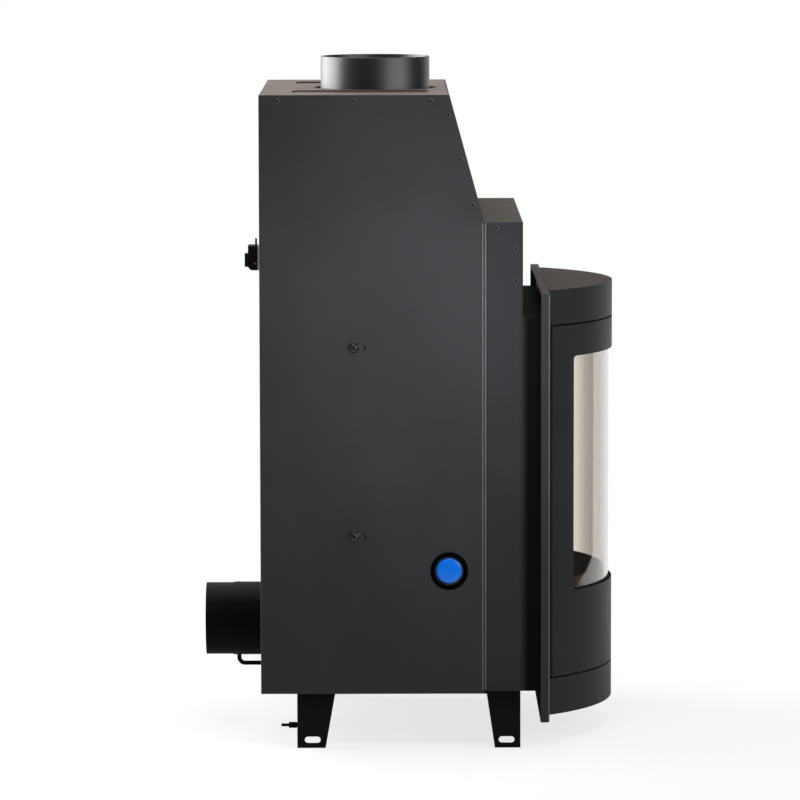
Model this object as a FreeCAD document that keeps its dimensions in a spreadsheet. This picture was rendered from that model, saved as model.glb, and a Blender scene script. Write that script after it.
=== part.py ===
import FreeCAD, Part

import os
import re

import Sketcher

# Wood-burning fireplace insert with a curved door.
# Frame: +X right seen from the front, -Y towards the room, +Z up, floor at zero.
# A depth is measured forward from the casing's rear face, a height up from the floor.

sizes = {
    # casing
    "casing_width": 500, "casing_height": 806, "leg_height": 77.3, "top_depth": 254.4,
    "shoulder_depth": 301, "shoulder_drop": 170, "sheet_gauge": 2, "fold_width": 10,
    "rivet_flange": 18, "seam_gap": 3, "front_box_depth": 48.5, "front_box_lift": 3.5,
    "throat_depth": 24, "throat_drop": 126, "bend_radius": 1.5,
    # flue outlet and hot-air outlets in the top
    "flue_depth": 154.7, "collar_radius": 75, "collar_gauge": 2, "collar_height": 43,
    "collar_gap": 9.5, "collar_base_radius": 105, "collar_base_gauge": 6,
    "outlet_length": 183, "outlet_width": 78, "outlet_offset": 142, "outlet_start": 43,
    "outlet_corner": 8, "blank_lap": 8, "blank_gauge": 2,
    # bolts in the slots of the casing sides
    "slot_length": 32.7, "slot_width": 8, "bolt_depth": 126, "upper_bolt_height": 545.3,
    "lower_bolt_height": 290.3, "bolt_radius": 3, "bolt_head_radius": 5.5, "bolt_head_height": 3,
    "bolt_length": 22, "washer_radius": 8, "washer_gauge": 1.4, "standoff_radius": 8,
    # plugged side port
    "port_inset": 47.3, "port_height": 244.1, "port_radius": 23.5, "bezel_radius": 25.4,
    "bezel_gauge": 1.6, "port_bore": 19.5, "port_sleeve": 24, "plug_clearance": 0.2,
    "plug_face_radius": 18, "plug_face_rise": 0.8, "plug_length": 14, "plug_wall": 2,
    # blind rivets
    "rivet_edge": 8, "rivet_head_radius": 4, "rivet_head_height": 1.4, "rivet_radius": 1.6,
    "rivet_length": 7, "rivet_start": 25, "rivet_pitch": 102, "slant_rivet_drop": 26.5,
    "slant_rivet_pitch": 60, "slant_rivet_inset": 9, "box_rivet_start": 13.2,
    "box_rivet_drop": 36, "box_rivet_pitch": 42.3, "box_rivet_inset": 9,
    # welded firebox
    "jacket_gap": 26, "plate_gauge": 5, "firebox_rear": 34, "firebox_lift": 8,
    "firebox_headroom": 20, "firebox_front_gap": 4.5, "throat_gap": 6, "ledge_width": 20,
    "ledge_gauge": 5, "ash_space": 73,
    "dome_width": 310, "dome_length": 150, "dome_top": 148, "dome_gauge": 4, "dome_height": 95,
    # lining, hearth and baffles
    "lining_gauge": 25, "lining_height": 410, "lining_gap": 8, "hearth_gauge": 30,
    "grate_size": 158, "grate_gauge": 14, "grate_depth": 190, "grate_seat": 9,
    "grate_clearance": 1, "grate_slots": 7, "grate_slot_width": 9, "grate_slot_length": 120,
    "grate_slot_pitch": 18,
    "board_gauge": 22, "board_length": 220, "baffle_rise": 28, "baffle_gauge": 4,
    "baffle_start": 120, "guard_height": 32, "guard_gauge": 5, "guard_foot": 18,
    "pan_width": 240, "pan_length": 200, "pan_height": 42, "pan_gauge": 1.5,
    # combustion air
    "inlet_height": 143.3, "inlet_radius": 50, "inlet_step": 0.8, "inlet_gauge": 1.5,
    "inlet_length": 81.9, "spigot_length": 38, "inlet_gap": 1.5, "air_box_width": 220,
    "air_box_height": 112, "air_hole_width": 120, "air_hole_height": 50, "air_hole_lift": 13,
    "damper_depth": 36.7, "spindle_radius": 3, "disc_radius": 41.5, "disc_gauge": 2,
    "lever_drop": 12.5, "lever_bend": 8, "lever_length": 32, "spindle_stub": 0.4,
    "running_clearance": 0.05,
    # front flange and the fixed caps of the bay
    "flange_overhang": 5.5, "flange_height": 579.5, "flange_bottom": 38.3, "flange_rim": 11.5,
    "flange_gauge": 3, "flange_corner": 2, "flange_edge": 1.2, "mouth_width": 280,
    "mouth_margin": 32, "bay_radius": 250, "bay_bulge": 94.4, "bay_gauge": 3,
    "top_cap_height": 47.5, "bottom_cap_height": 49.5, "groove_gap": 2.4,
    # door
    "door_gap": 1.5, "knuckle_radius": 5, "knuckle_gap": 0.8, "pin_radius": 3, "pin_insert": 20,
    "pin_reach": 7, "stile_width": 16.8, "window_lift": 114.4, "window_drop": 42.5,
    "window_corner": 5, "glass_gauge": 4, "glass_side_lap": 7, "glass_end_lap": 12,
    "gasket_gauge": 1.3, "gasket_inset": 1, "fit_gap": 0.1, "frame_side_gap": 1.3, "frame_bar": 25,
    "frame_depth": 12, "frame_gap": 3, "rope_width": 9, "rope_depth": 6, "rope_side_gap": 0.3,
    "rope_gap": 0.4, "clip_gauge": 2, "clip_lap": 10, "clip_foot": 4, "clip_angle": 66,
    # latch and handle
    "latch_offset": 128, "latch_height": 168.3, "latch_radius": 5, "hub_radius": 11,
    "hub_length": 12, "hub_stand": 7.26, "grip_length": 62, "grip_radius": 7, "grip_gauge": 9,
    "tongue_length": 26, "tongue_radius": 8, "tongue_gauge": 5, "tongue_gap": 0.6,
    "bracket_gauge": 3, "bracket_height": 34, "bracket_reach": 16, "rosette_radius": 13,
    "rosette_gap": 0.6,
    # legs
    "leg_gauge": 3, "leg_inset": 20, "leg_fold": 28, "rear_leg_depth": 48.2, "rear_leg_top": 53.4,
    "rear_leg_foot": 38.3, "front_leg_depth": 350, "front_leg_top": 47.3, "front_leg_foot": 34.6,
    "foot_slot_length": 21.5, "foot_slot_width": 9, "foot_slot_height": 11, "rear_slot_inset": 20.8,
    "front_slot_inset": 18.7, "rail_width": 30, "rail_height": 12,
    "spacer_height": 29.3, "spacer_radius": 4.3, "spacer_length": 11.7, "spacer_pin_radius": 2,
    "spacer_pin_length": 10,
    # electrical terminal on the rear panel
    "terminal_offset": 170, "terminal_width": 34, "terminal_height": 644.8, "block_height": 32.7,
    "block_depth": 13, "block_chamfer": 4, "base_gauge": 3.5, "boss_width": 22, "boss_height": 17.4,
    "boss_lift": 4.2, "boss_rise": 4.7, "tab_width": 9, "tab_height": 9.4, "tab_gauge": 2.5,
    "tab_setback": 1.2,
}
cut_room = "1"  # how far a cutter runs past the face it opens

doc = FreeCAD.newDocument("FireplaceInsert")
sheet = doc.addObject("Spreadsheet::Sheet", "Sizes")
for row, (alias, value) in enumerate(sizes.items(), start=1):
    sheet.set(f"A{row}", alias)
    sheet.set(f"B{row}", str(value))
    sheet.setAlias(f"B{row}", alias)
doc.recompute()

# Levels that several pieces share, as formulas of the sizes.
half_width = "(casing_width/2)"
inner_half = "(casing_width/2 - sheet_gauge)"
casing_top = "(leg_height + casing_height)"
box_top = f"({casing_top} - shoulder_drop)"
box_start = "(shoulder_depth + seam_gap)"
box_front = f"({box_start} + front_box_depth)"
box_bottom = "(leg_height + front_box_lift)"
throat_top = f"({box_top} - throat_drop)"
flange_rear = f"({box_front} + throat_depth)"
flange_front = f"({flange_rear} + flange_rim)"
throat_end = f"({flange_front} - flange_gauge)"
flange_top = "(flange_bottom + flange_height)"
front_reach = f"({flange_front} + bay_bulge)"
rear = f"(({front_reach} - inlet_length)/2)"
port_depth = "(shoulder_depth - port_inset)"
slant_run = "((shoulder_depth - top_depth)/shoulder_drop)"

firebox_half = f"({inner_half} - jacket_gap)"
chamber_half = f"({firebox_half} - plate_gauge)"
firebox_base = "(leg_height + firebox_lift)"
firebox_floor_top = f"({firebox_base} + plate_gauge)"
firebox_roof_base = f"({box_top} - firebox_headroom)"
firebox_back_front = "(firebox_rear + plate_gauge)"
firebox_front = f"({box_front} - firebox_front_gap)"
firebox_throat_top = f"({throat_top} - throat_gap)"
hearth_base = f"({firebox_floor_top} + ash_space)"
hearth_top = f"({hearth_base} + hearth_gauge)"
lining_front = f"({firebox_front} - plate_gauge - lining_gap)"
lining_top = f"({hearth_top} + lining_height)"
board_top = f"({lining_top} + board_gauge)"
baffle_base = f"({board_top} + baffle_rise)"
dome_top_height = f"({firebox_roof_base} + plate_gauge + dome_height)"

bay_axis = f"({front_reach} - bay_radius)"
door_base = "(flange_bottom + bottom_cap_height + groove_gap)"
door_top = f"({flange_top} - top_cap_height - groove_gap)"
bay_inner = "(bay_radius - bay_gauge)"
hinge_depth = f"({flange_front} + knuckle_gap + knuckle_radius)"
hinge_reach = f"({hinge_depth} - {bay_axis})"
hinge_x = f"(-sqrt((bay_radius - knuckle_radius)^2 - {hinge_reach}^2))"
frame_rear = f"({flange_front} + frame_gap)"
frame_front = f"({frame_rear} + frame_depth)"
frame_half = f"(sqrt({bay_inner}^2 - ({frame_front} - {bay_axis})^2) - frame_side_gap)"
window_half = f"({frame_half} - stile_width)"
window_base = f"({door_base} + window_lift)"
window_top = f"({door_top} - window_drop)"
glass_outer = "(bay_radius - bay_gauge - gasket_gauge - 2*fit_gap)"
glass_inner = f"({glass_outer} - glass_gauge)"
glass_half = f"({window_half} + glass_side_lap)"
glass_base = f"({window_base} - glass_end_lap)"
glass_top = f"({window_top} + glass_end_lap)"
mouth_base = f"({door_base} + mouth_margin)"
mouth_top = f"({door_top} - mouth_margin)"
hub_rear = f"({bay_axis} + sqrt(bay_radius^2 - latch_offset^2) + hub_stand)"
tongue_front = f"({flange_front} - flange_gauge - tongue_gap)"
tongue_rear = f"({tongue_front} - tongue_gauge)"

turns = {
    "x": FreeCAD.Rotation(FreeCAD.Vector(0, 1, 0), 90),
    "depth": FreeCAD.Rotation(FreeCAD.Vector(1, 0, 0), 90),
    "z": FreeCAD.Rotation(),
}
lever_turn = FreeCAD.Rotation(FreeCAD.Vector(0, 1, 0), FreeCAD.Vector(0, 0, -1), FreeCAD.Vector(-1, 0, 0),
                              "XYZ")
tolerance = 1e-4
pieces = []


def named(formula):
    return re.sub(r"[a-z_]+", lambda word: "Sizes." + word[0] if word[0] in sizes else word[0], formula)


def bind(item, target, formula):
    item.setExpression(target, named(formula))


def place(item, x, depth, z):
    bind(item, "Placement.Base.x", x)
    bind(item, "Placement.Base.y", f"{rear} - ({depth})")
    bind(item, "Placement.Base.z", z)
    return item


def block(name, x, depth, z):
    item = doc.addObject("Part::Box", name)
    bind(item, "Length", f"({x[1]}) - ({x[0]})")
    bind(item, "Width", f"({depth[1]}) - ({depth[0]})")
    bind(item, "Height", f"({z[1]}) - ({z[0]})")
    return place(item, x[0], depth[1], z[0])


def across(half):
    return (f"-({half})", half)


def rod(name, radius, x, depth, z):
    # the coordinate given as a pair is the rod's axis
    spans = {"x": x, "depth": depth, "z": z}
    axis = next(key for key in spans if isinstance(spans[key], tuple))
    start, end = spans[axis]
    spans[axis] = start
    item = doc.addObject("Part::Cylinder", name)
    item.Placement = FreeCAD.Placement(FreeCAD.Vector(), turns[axis])
    bind(item, "Radius", radius)
    bind(item, "Height", f"({end}) - ({start})")
    return place(item, spans["x"], spans["depth"], spans["z"])


def join(name, *items):
    item = doc.addObject("Part::MultiFuse", name)
    item.Shapes = list(items)
    return item


def cut(name, base, *tools):
    item = doc.addObject("Part::Cut", name)
    item.Base = base
    item.Tool = tools[0] if len(tools) == 1 else join(name + "_cutters", *tools)
    return item


def common(name, base, tool):
    item = doc.addObject("Part::Common", name)
    item.Base = base
    item.Tool = tool
    return item


def group(name, *items):
    item = doc.addObject("Part::Compound", name)
    item.Links = list(items)
    return item


def piece(item):
    pieces.append(item)
    return item


def origin_plane(body, role):
    return next(feature for feature in body.Origin.OriginFeatures if feature.Role == role)


def outline(body, name, plane, points):
    # closed polyline whose corners are placed by formulas
    sketch = body.newObject("Sketcher::SketchObject", name)
    sketch.AttachmentSupport = [(origin_plane(body, plane), "")]
    sketch.MapMode = "FlatFace"
    count = len(points)
    for index in range(count):
        start = FreeCAD.Vector(index, index * index, 0)
        end = FreeCAD.Vector(index + 1, (index + 1) * (index + 1), 0)
        sketch.addGeometry(Part.LineSegment(start, end), False)
    for index in range(count):
        sketch.addConstraint(Sketcher.Constraint("Coincident", index, 2, (index + 1) % count, 1))
    for index, (across_formula, up_formula) in enumerate(points):
        for kind, formula in (("DistanceX", across_formula), ("DistanceY", up_formula)):
            number = sketch.addConstraint(Sketcher.Constraint(kind, -1, 1, index, 1, 1.0 + index))
            bind(sketch, f"Constraints[{number}]", formula)
    return sketch


def pad(name, plane, points, length):
    body = doc.addObject("PartDesign::Body", name)
    feature = body.newObject("PartDesign::Pad", name + "_pad")
    feature.Profile = outline(body, name + "_outline", plane, points)
    bind(feature, "Length", length)
    body.Tip = feature
    return body


def rectangle(across_span, up_span):
    return [(across_span[0], up_span[0]), (across_span[1], up_span[0]), (across_span[1], up_span[1]),
            (across_span[0], up_span[1])]


def side_plate(name, x, points):
    # plate square to X, from an outline of depths and heights
    body = pad(name, "YZ_Plane", [(f"{rear} - ({depth})", z) for depth, z in points],
               f"({x[1]}) - ({x[0]})")
    bind(body, "Placement.Base.x", x[0])
    return body


def rounding(body, radius, chosen):
    # fillet on the edges that the test picks
    doc.recompute()
    base = body.Tip
    edges = [f"Edge{index}" for index, edge in enumerate(base.Shape.Edges, start=1) if chosen(edge)]
    feature = body.newObject("PartDesign::Fillet", f"{base.Name}_round")
    feature.Base = (base, edges)
    bind(feature, "Radius", radius)
    body.Tip = feature
    return body


def runs_along(edge, axis):
    first, last = edge.Vertexes[0].Point, edge.Vertexes[-1].Point
    return abs(abs((last - first).normalize().dot(axis)) - 1) < tolerance


def at_limit(body, limit):
    # test for edges that lie on one outer plane of the body's solid
    doc.recompute()
    level = getattr(body.Tip.Shape.BoundBox, limit)
    axis = limit[0].lower()

    def lies_there(edge):
        return all(abs(getattr(vertex.Point, axis) - level) < tolerance for vertex in edge.Vertexes)

    return lies_there


def front_block(name, x, depth, z, corner):
    # block whose four corners, seen from the front, are rounded
    body = pad(name, "XZ_Plane", rectangle(x, z), f"({depth[1]}) - ({depth[0]})")
    bind(body, "Placement.Base.y", f"{rear} - ({depth[0]})")
    return rounding(body, corner, lambda edge: runs_along(edge, FreeCAD.Vector(0, 1, 0)))


def slot(name, length, width, x, depth, z):
    # horizontal slot through the X span, rounded at both ends
    flat = f"(({length})/2 - ({width})/2)"
    body = block(name + "_flat", x, (f"{depth} - {flat}", f"{depth} + {flat}"),
                 (f"{z} - ({width})/2", f"{z} + ({width})/2"))
    rear_end = rod(name + "_rear", f"({width})/2", x, f"{depth} - {flat}", z)
    front_end = rod(name + "_front", f"({width})/2", x, f"{depth} + {flat}", z)
    return join(name, body, rear_end, front_end)


def bay_solid(name, radius, z):
    # upright cylinder on the axis of the curved front
    return rod(name, radius, "0", bay_axis, z)


def bay_sheet(name, outer, inner, half, depth_start, z):
    # curved sheet on the bay's axis, in front of one depth and within one half width
    ring = cut(name + "_ring", bay_solid(name + "_outer", outer, z), bay_solid(name + "_inner", inner, z))
    window = block(name + "_limits", across(half), (depth_start, front_reach), z)
    return common(name, ring, window)


def mirrored(name, item):
    # copy on the other side of the middle plane
    other = doc.addObject("Part::Mirroring", name)
    other.Source = item
    other.Normal = FreeCAD.Vector(1, 0, 0)
    return other


left = (f"-{half_width}", f"-{inner_half}")

# Rivet places as depth and height, and the drill that opens the sheets there.
slant_depths = []
for step in range(3):
    drop = f"(slant_rivet_drop + {step}*slant_rivet_pitch)"
    slant_depths.append((f"top_depth + {slant_run}*{drop} - slant_rivet_inset", f"{casing_top} - {drop}"))
top_places = [(f"rivet_start + {step}*rivet_pitch", f"{casing_top} - rivet_edge") for step in range(3)]
box_places = [(f"{box_start} + box_rivet_start", f"{box_top} - rivet_edge")]
for step in range(2):
    box_places.append((f"{box_front} - box_rivet_inset",
                       f"{box_top} - box_rivet_drop - {step}*box_rivet_pitch"))
rivet_places = top_places + slant_depths + box_places
drills = [rod(f"rivet_drill_{index}", "rivet_radius + running_clearance",
              across(f"{half_width} + {cut_room}"), depth, z)
          for index, (depth, z) in enumerate(rivet_places)]
rivet_drill = join("rivet_drill", *drills)

# Casing sides: one flat sheet with a slanted shoulder and a fold along the front edge.
side_points = [("0", "leg_height"), ("shoulder_depth", "leg_height"), ("shoulder_depth", box_top),
               ("top_depth", casing_top), ("0", casing_top)]


def is_outer_upright(edge):
    return runs_along(edge, FreeCAD.Vector(0, 0, 1)) and abs(edge.Vertexes[0].X) < tolerance


side_sheet = rounding(side_plate("side_sheet", left, side_points), "bend_radius", is_outer_upright)
side_fold = block("side_fold", (f"-{inner_half}", f"-{inner_half} + fold_width"),
                  ("shoulder_depth - sheet_gauge", "shoulder_depth"),
                  ("leg_height", f"{box_top} - rivet_edge"))
side_blank = join("side_blank", side_sheet, side_fold)
bolt_slots = [slot(f"bolt_slot_{height}", "slot_length", "slot_width", across(f"{half_width} + {cut_room}"),
                   "bolt_depth", height) for height in ("upper_bolt_height", "lower_bolt_height")]
port_hole = rod("port_hole", "port_radius", (f"-{half_width} - {cut_room}", f"-{inner_half} + {cut_room}"),
                port_depth, "port_height")
piece(cut("casing_side_left", side_blank, rivet_drill, port_hole, *bolt_slots))
piece(mirrored("casing_side_right", cut("side_plain", side_blank, rivet_drill, *bolt_slots)))

# Rear panel with its side flanges and the hole for the air inlet.
rear_tray = cut("rear_tray", block("rear_outer", across(inner_half), ("0", "fold_width + sheet_gauge"),
                                   ("leg_height", f"{casing_top} - rivet_flange - sheet_gauge")),
                block("rear_inner", across(f"{inner_half} - sheet_gauge"),
                      ("sheet_gauge", f"fold_width + sheet_gauge + {cut_room}"), ("0", casing_top)))
rear_head = block("rear_head", across(inner_half), ("0", "sheet_gauge"),
                  ("leg_height", f"{casing_top} - sheet_gauge"))
inlet_hole = rod("inlet_hole", "inlet_radius + inlet_step + inlet_gap", "0",
                 (f"-{cut_room}", f"sheet_gauge + {cut_room}"), "inlet_height")
piece(cut("casing_rear_panel", join("rear_blank", rear_tray, rear_head), inlet_hole))

# Top panel: an inverted tray with the collar hole and two hot-air outlets.
slant_wall = f"(sheet_gauge*sqrt(1 + {slant_run}^2))"
top_front = f"(top_depth - {slant_wall} - fit_gap)"
top_sheet = side_plate("top_sheet", across(inner_half),
                       [("0", casing_top), (top_front, casing_top),
                        (top_front, f"{casing_top} - rivet_flange"),
                        ("sheet_gauge", f"{casing_top} - rivet_flange"),
                        ("sheet_gauge", f"{casing_top} - sheet_gauge"),
                        ("0", f"{casing_top} - sheet_gauge")])
top_rear = at_limit(top_sheet, "YMax")
top_upper = at_limit(top_sheet, "ZMax")
rounding(top_sheet, "bend_radius", lambda edge: top_rear(edge) and top_upper(edge))
top_hollow = block("top_hollow", across(f"{inner_half} - sheet_gauge"), ("sheet_gauge", "top_depth"),
                   ("0", f"{casing_top} - sheet_gauge"))
collar_hole = rod("collar_hole", "collar_radius + collar_gap", "0", "flue_depth",
                  (f"{casing_top} - sheet_gauge - {cut_room}", f"{casing_top} + {cut_room}"))


def outlet_cutter(name, centre):
    points = rectangle((f"{centre} - outlet_width/2", f"{centre} + outlet_width/2"),
                       (f"{rear} - outlet_start - outlet_length", f"{rear} - outlet_start"))
    body = pad(name, "XY_Plane", points, f"sheet_gauge + 2*{cut_room}")
    bind(body, "Placement.Base.z", f"{casing_top} - sheet_gauge - {cut_room}")
    return rounding(body, "outlet_corner", lambda edge: runs_along(edge, FreeCAD.Vector(0, 0, 1)))


outlets = [outlet_cutter("outlet_left", "-outlet_offset"), outlet_cutter("outlet_right", "outlet_offset")]
piece(cut("casing_top_panel", top_sheet, top_hollow, collar_hole, rivet_drill, *outlets))
blanks = []
for name, centre in (("blank_left", "-outlet_offset"), ("blank_right", "outlet_offset")):
    half = "(outlet_width/2 + blank_lap)"
    blanks.append(block(name, (f"{centre} - {half}", f"{centre} + {half}"),
                        ("outlet_start - blank_lap", "outlet_start + outlet_length + blank_lap"),
                        (f"{casing_top} - sheet_gauge - blank_gauge", f"{casing_top} - sheet_gauge")))
piece(group("outlet_blanks", *blanks))

# Slanted panel between the top and the front box, with flanges behind the rivets.
slant_sheet = side_plate("slant_sheet", across(inner_half),
                         [(f"top_depth - {slant_wall}", casing_top), ("top_depth", casing_top),
                          ("shoulder_depth", box_top), (f"shoulder_depth - {slant_wall}", box_top)])
slant_start = f"({casing_top} - rivet_flange - sheet_gauge)"
slant_start_depth = f"(top_depth + {slant_run}*(rivet_flange + sheet_gauge))"
slant_flange = side_plate("slant_flange", (f"-{inner_half}", f"-{inner_half} + sheet_gauge"),
                          [(f"{slant_start_depth} - rivet_flange", slant_start),
                           (f"{slant_start_depth} - {slant_wall}", slant_start),
                           (f"shoulder_depth - {slant_wall}", box_top),
                           ("shoulder_depth - rivet_flange", box_top)])
slant_blank = join("slant_blank", slant_sheet, slant_flange, mirrored("slant_flange_right", slant_flange))
piece(cut("casing_slant_panel", slant_blank, rivet_drill))

# Front box: L-shaped cheeks, a folded hood over the throat and a floor.
cheek_points = [(box_start, box_bottom), (throat_end, box_bottom), (throat_end, throat_top),
                (box_front, throat_top), (box_front, box_top), (box_start, box_top)]
cheek_sheet = side_plate("cheek_sheet", left, cheek_points)
cheek_rear = at_limit(cheek_sheet, "YMax")
rounding(cheek_sheet, "bend_radius", lambda edge: is_outer_upright(edge) and cheek_rear(edge))
cheek_fold = block("cheek_fold", (f"-{inner_half}", f"-{inner_half} + fold_width"),
                   (box_start, f"{box_start} + sheet_gauge"),
                   (f"{box_bottom} + sheet_gauge", f"{box_top} - rivet_flange - sheet_gauge"))
piece(cut("front_box_side_left", join("cheek_blank", cheek_sheet, cheek_fold), rivet_drill))
piece(mirrored("front_box_side_right", pieces[-1]))
hood_sheet = side_plate("hood_sheet", across(inner_half),
                        [("shoulder_depth + fit_gap", box_top), (box_front, box_top),
                         (box_front, throat_top),
                         (throat_end, throat_top), (throat_end, f"{throat_top} - sheet_gauge"),
                         (f"{box_front} - sheet_gauge", f"{throat_top} - sheet_gauge"),
                         (f"{box_front} - sheet_gauge", f"{box_top} - sheet_gauge"),
                         ("shoulder_depth + fit_gap", f"{box_top} - sheet_gauge")])
hood_flange = side_plate("hood_flange", (f"-{inner_half}", f"-{inner_half} + sheet_gauge"),
                         [(f"{box_start} + sheet_gauge + fit_gap", f"{box_top} - sheet_gauge"),
                          (f"{box_front} - sheet_gauge", f"{box_top} - sheet_gauge"),
                          (f"{box_front} - sheet_gauge", throat_top),
                          (f"{box_front} - rivet_flange", throat_top),
                          (f"{box_front} - rivet_flange", f"{box_top} - rivet_flange"),
                          (f"{box_start} + sheet_gauge + fit_gap", f"{box_top} - rivet_flange")])
hood_blank = join("hood_blank", hood_sheet, hood_flange, mirrored("hood_flange_right", hood_flange))
piece(cut("front_box_hood", hood_blank, rivet_drill))
piece(block("front_box_floor", across(inner_half), ("front_leg_depth + fit_gap", throat_end),
            (box_bottom, f"{box_bottom} + sheet_gauge")))

# Blind rivets: a domed head outside the sheet and a short shank through both sheets.
dome_radius = "((rivet_head_radius^2 + rivet_head_height^2)/(2*rivet_head_height))"
rivets = []
for index, (depth, z) in enumerate(rivet_places):
    head = doc.addObject("Part::Sphere", f"rivet_head_{index}")
    head.Placement = FreeCAD.Placement(FreeCAD.Vector(), FreeCAD.Rotation(FreeCAD.Vector(0, 1, 0), -90))
    bind(head, "Radius", dome_radius)
    bind(head, "Angle1", f"asin(({dome_radius} - rivet_head_height)/{dome_radius})")
    place(head, f"-{half_width} + {dome_radius} - rivet_head_height", depth, z)
    shank = rod(f"rivet_shank_{index}", "rivet_radius", (f"-{half_width}", f"-{half_width} + rivet_length"),
                depth, z)
    rivets.append(join(f"rivet_{index}", head, shank))
rivets_left = group("rivets_left", *rivets)
piece(group("casing_rivets", rivets_left, mirrored("rivets_right", rivets_left)))

# Bolts and washers in the slots, and the stand-offs that carry them on the firebox.
bolts = []
standoffs = []
for name, height in (("upper", "upper_bolt_height"), ("lower", "lower_bolt_height")):
    face = f"-{half_width} - washer_gauge"
    washer = cut(f"washer_{name}",
                 rod(f"washer_disc_{name}", "washer_radius", (face, f"-{half_width}"), "bolt_depth",
                     height),
                 rod(f"washer_hole_{name}", "bolt_radius + running_clearance",
                     (f"{face} - {cut_room}", f"-{half_width} + {cut_room}"), "bolt_depth", height))
    bolt = join(f"bolt_{name}",
                rod(f"bolt_head_{name}", "bolt_head_radius", (f"{face} - bolt_head_height", face),
                    "bolt_depth", height),
                rod(f"bolt_shank_{name}", "bolt_radius", (face, f"{face} + bolt_length"), "bolt_depth",
                    height))
    bolts += [bolt, washer]
    span = (f"-{inner_half}", f"-{firebox_half}")
    standoffs.append(cut(f"standoff_{name}",
                         rod(f"standoff_bar_{name}", "standoff_radius", span, "bolt_depth", height),
                         rod(f"standoff_bore_{name}", "bolt_radius + running_clearance", span, "bolt_depth",
                             height)))
bolts_left = group("bolts_left", *bolts)
piece(group("casing_bolts", bolts_left, mirrored("bolts_right", bolts_left)))
standoffs_left = group("standoffs_left", *standoffs)
piece(group("casing_standoffs", standoffs_left, mirrored("standoffs_right", standoffs_left)))

# Welded firebox of flat plates.
chamber = across(chamber_half)
back_plate = block("back_plate", across(firebox_half), ("firebox_rear", firebox_back_front),
                   (firebox_floor_top, firebox_roof_base))
air_hole_base = f"({firebox_floor_top} + air_hole_lift)"
air_hole = block("air_hole", across("air_hole_width/2"),
                 (f"firebox_rear - {cut_room}", f"{firebox_back_front} + {cut_room}"),
                 (air_hole_base, f"{air_hole_base} + air_hole_height"))
piece(cut("firebox_back", back_plate, air_hole))
wall_points = [(firebox_back_front, firebox_floor_top), (throat_end, firebox_floor_top),
               (throat_end, firebox_throat_top), (firebox_front, firebox_throat_top),
               (firebox_front, firebox_roof_base), (firebox_back_front, firebox_roof_base)]
wall_plate = side_plate("wall_plate", (f"-{firebox_half}", f"-{chamber_half}"), wall_points)
ledge_span = (f"-{chamber_half}", f"-{chamber_half} + ledge_width")
hearth_ledge = block("hearth_ledge", ledge_span, (firebox_back_front, lining_front),
                     (f"{hearth_base} - ledge_gauge", hearth_base))
baffle_ledge = block("baffle_ledge", ledge_span, ("baffle_start", f"{firebox_front} - plate_gauge"),
                     (f"{baffle_base} - ledge_gauge", baffle_base))
piece(join("firebox_side_left", wall_plate, hearth_ledge, baffle_ledge))
piece(mirrored("firebox_side_right", pieces[-1]))
piece(block("firebox_floor", across(firebox_half), ("firebox_rear", throat_end),
            (firebox_base, firebox_floor_top)))
header_inner = f"({firebox_front} - plate_gauge)"
piece(side_plate("firebox_header", chamber,
                 [(header_inner, f"{firebox_throat_top} - plate_gauge"),
                  (throat_end, f"{firebox_throat_top} - plate_gauge"),
                  (throat_end, firebox_throat_top), (firebox_front, firebox_throat_top),
                  (firebox_front, firebox_roof_base), (header_inner, firebox_roof_base)]))
roof_top = f"({firebox_roof_base} + plate_gauge)"
dome_room = ("flue_depth - dome_length/2 + dome_gauge", "flue_depth + dome_length/2 - dome_gauge")
roof_hole = block("roof_hole", across("dome_width/2 - dome_gauge"), dome_room,
                  (f"{firebox_roof_base} - {cut_room}", f"{roof_top} + {cut_room}"))
piece(cut("firebox_roof", block("roof_plate", across(firebox_half), ("firebox_rear", firebox_front),
                                (firebox_roof_base, roof_top)), roof_hole))


def frustum(name, wall):
    # wedge that narrows from the roof opening to the collar, its height along Z
    item = doc.addObject("Part::Wedge", name)
    item.Placement = FreeCAD.Placement(FreeCAD.Vector(), turns["depth"])
    half_w = f"(dome_width/2 - {wall})"
    half_l = f"(dome_length/2 - {wall})"
    half_t = f"(dome_top/2 - {wall})"
    limits = {"Xmin": f"-{half_w}", "Xmax": half_w, "Zmin": f"-{half_l}", "Zmax": half_l, "Ymin": "0",
              "Ymax": "dome_height", "X2min": f"-{half_t}", "X2max": half_t, "Z2min": f"-{half_t}",
              "Z2max": half_t}
    for target, formula in limits.items():
        bind(item, target, formula)
    return place(item, "0", "flue_depth", roof_top)


piece(cut("smoke_dome", frustum("dome_outer", "0"), frustum("dome_inner", "dome_gauge")))
collar_base_top = f"({dome_top_height} + collar_base_gauge)"
collar_tube = rod("collar_tube", "collar_radius", "0", "flue_depth",
                  (collar_base_top, f"{casing_top} + collar_height"))
collar_flange = rod("collar_flange", "collar_base_radius", "0", "flue_depth",
                    (dome_top_height, collar_base_top))
collar_bore = rod("collar_bore", "collar_radius - collar_gauge", "0", "flue_depth",
                  (f"{dome_top_height} - {cut_room}", f"{casing_top} + collar_height + {cut_room}"))
piece(cut("flue_collar", join("collar_blank", collar_tube, collar_flange), collar_bore))

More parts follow.
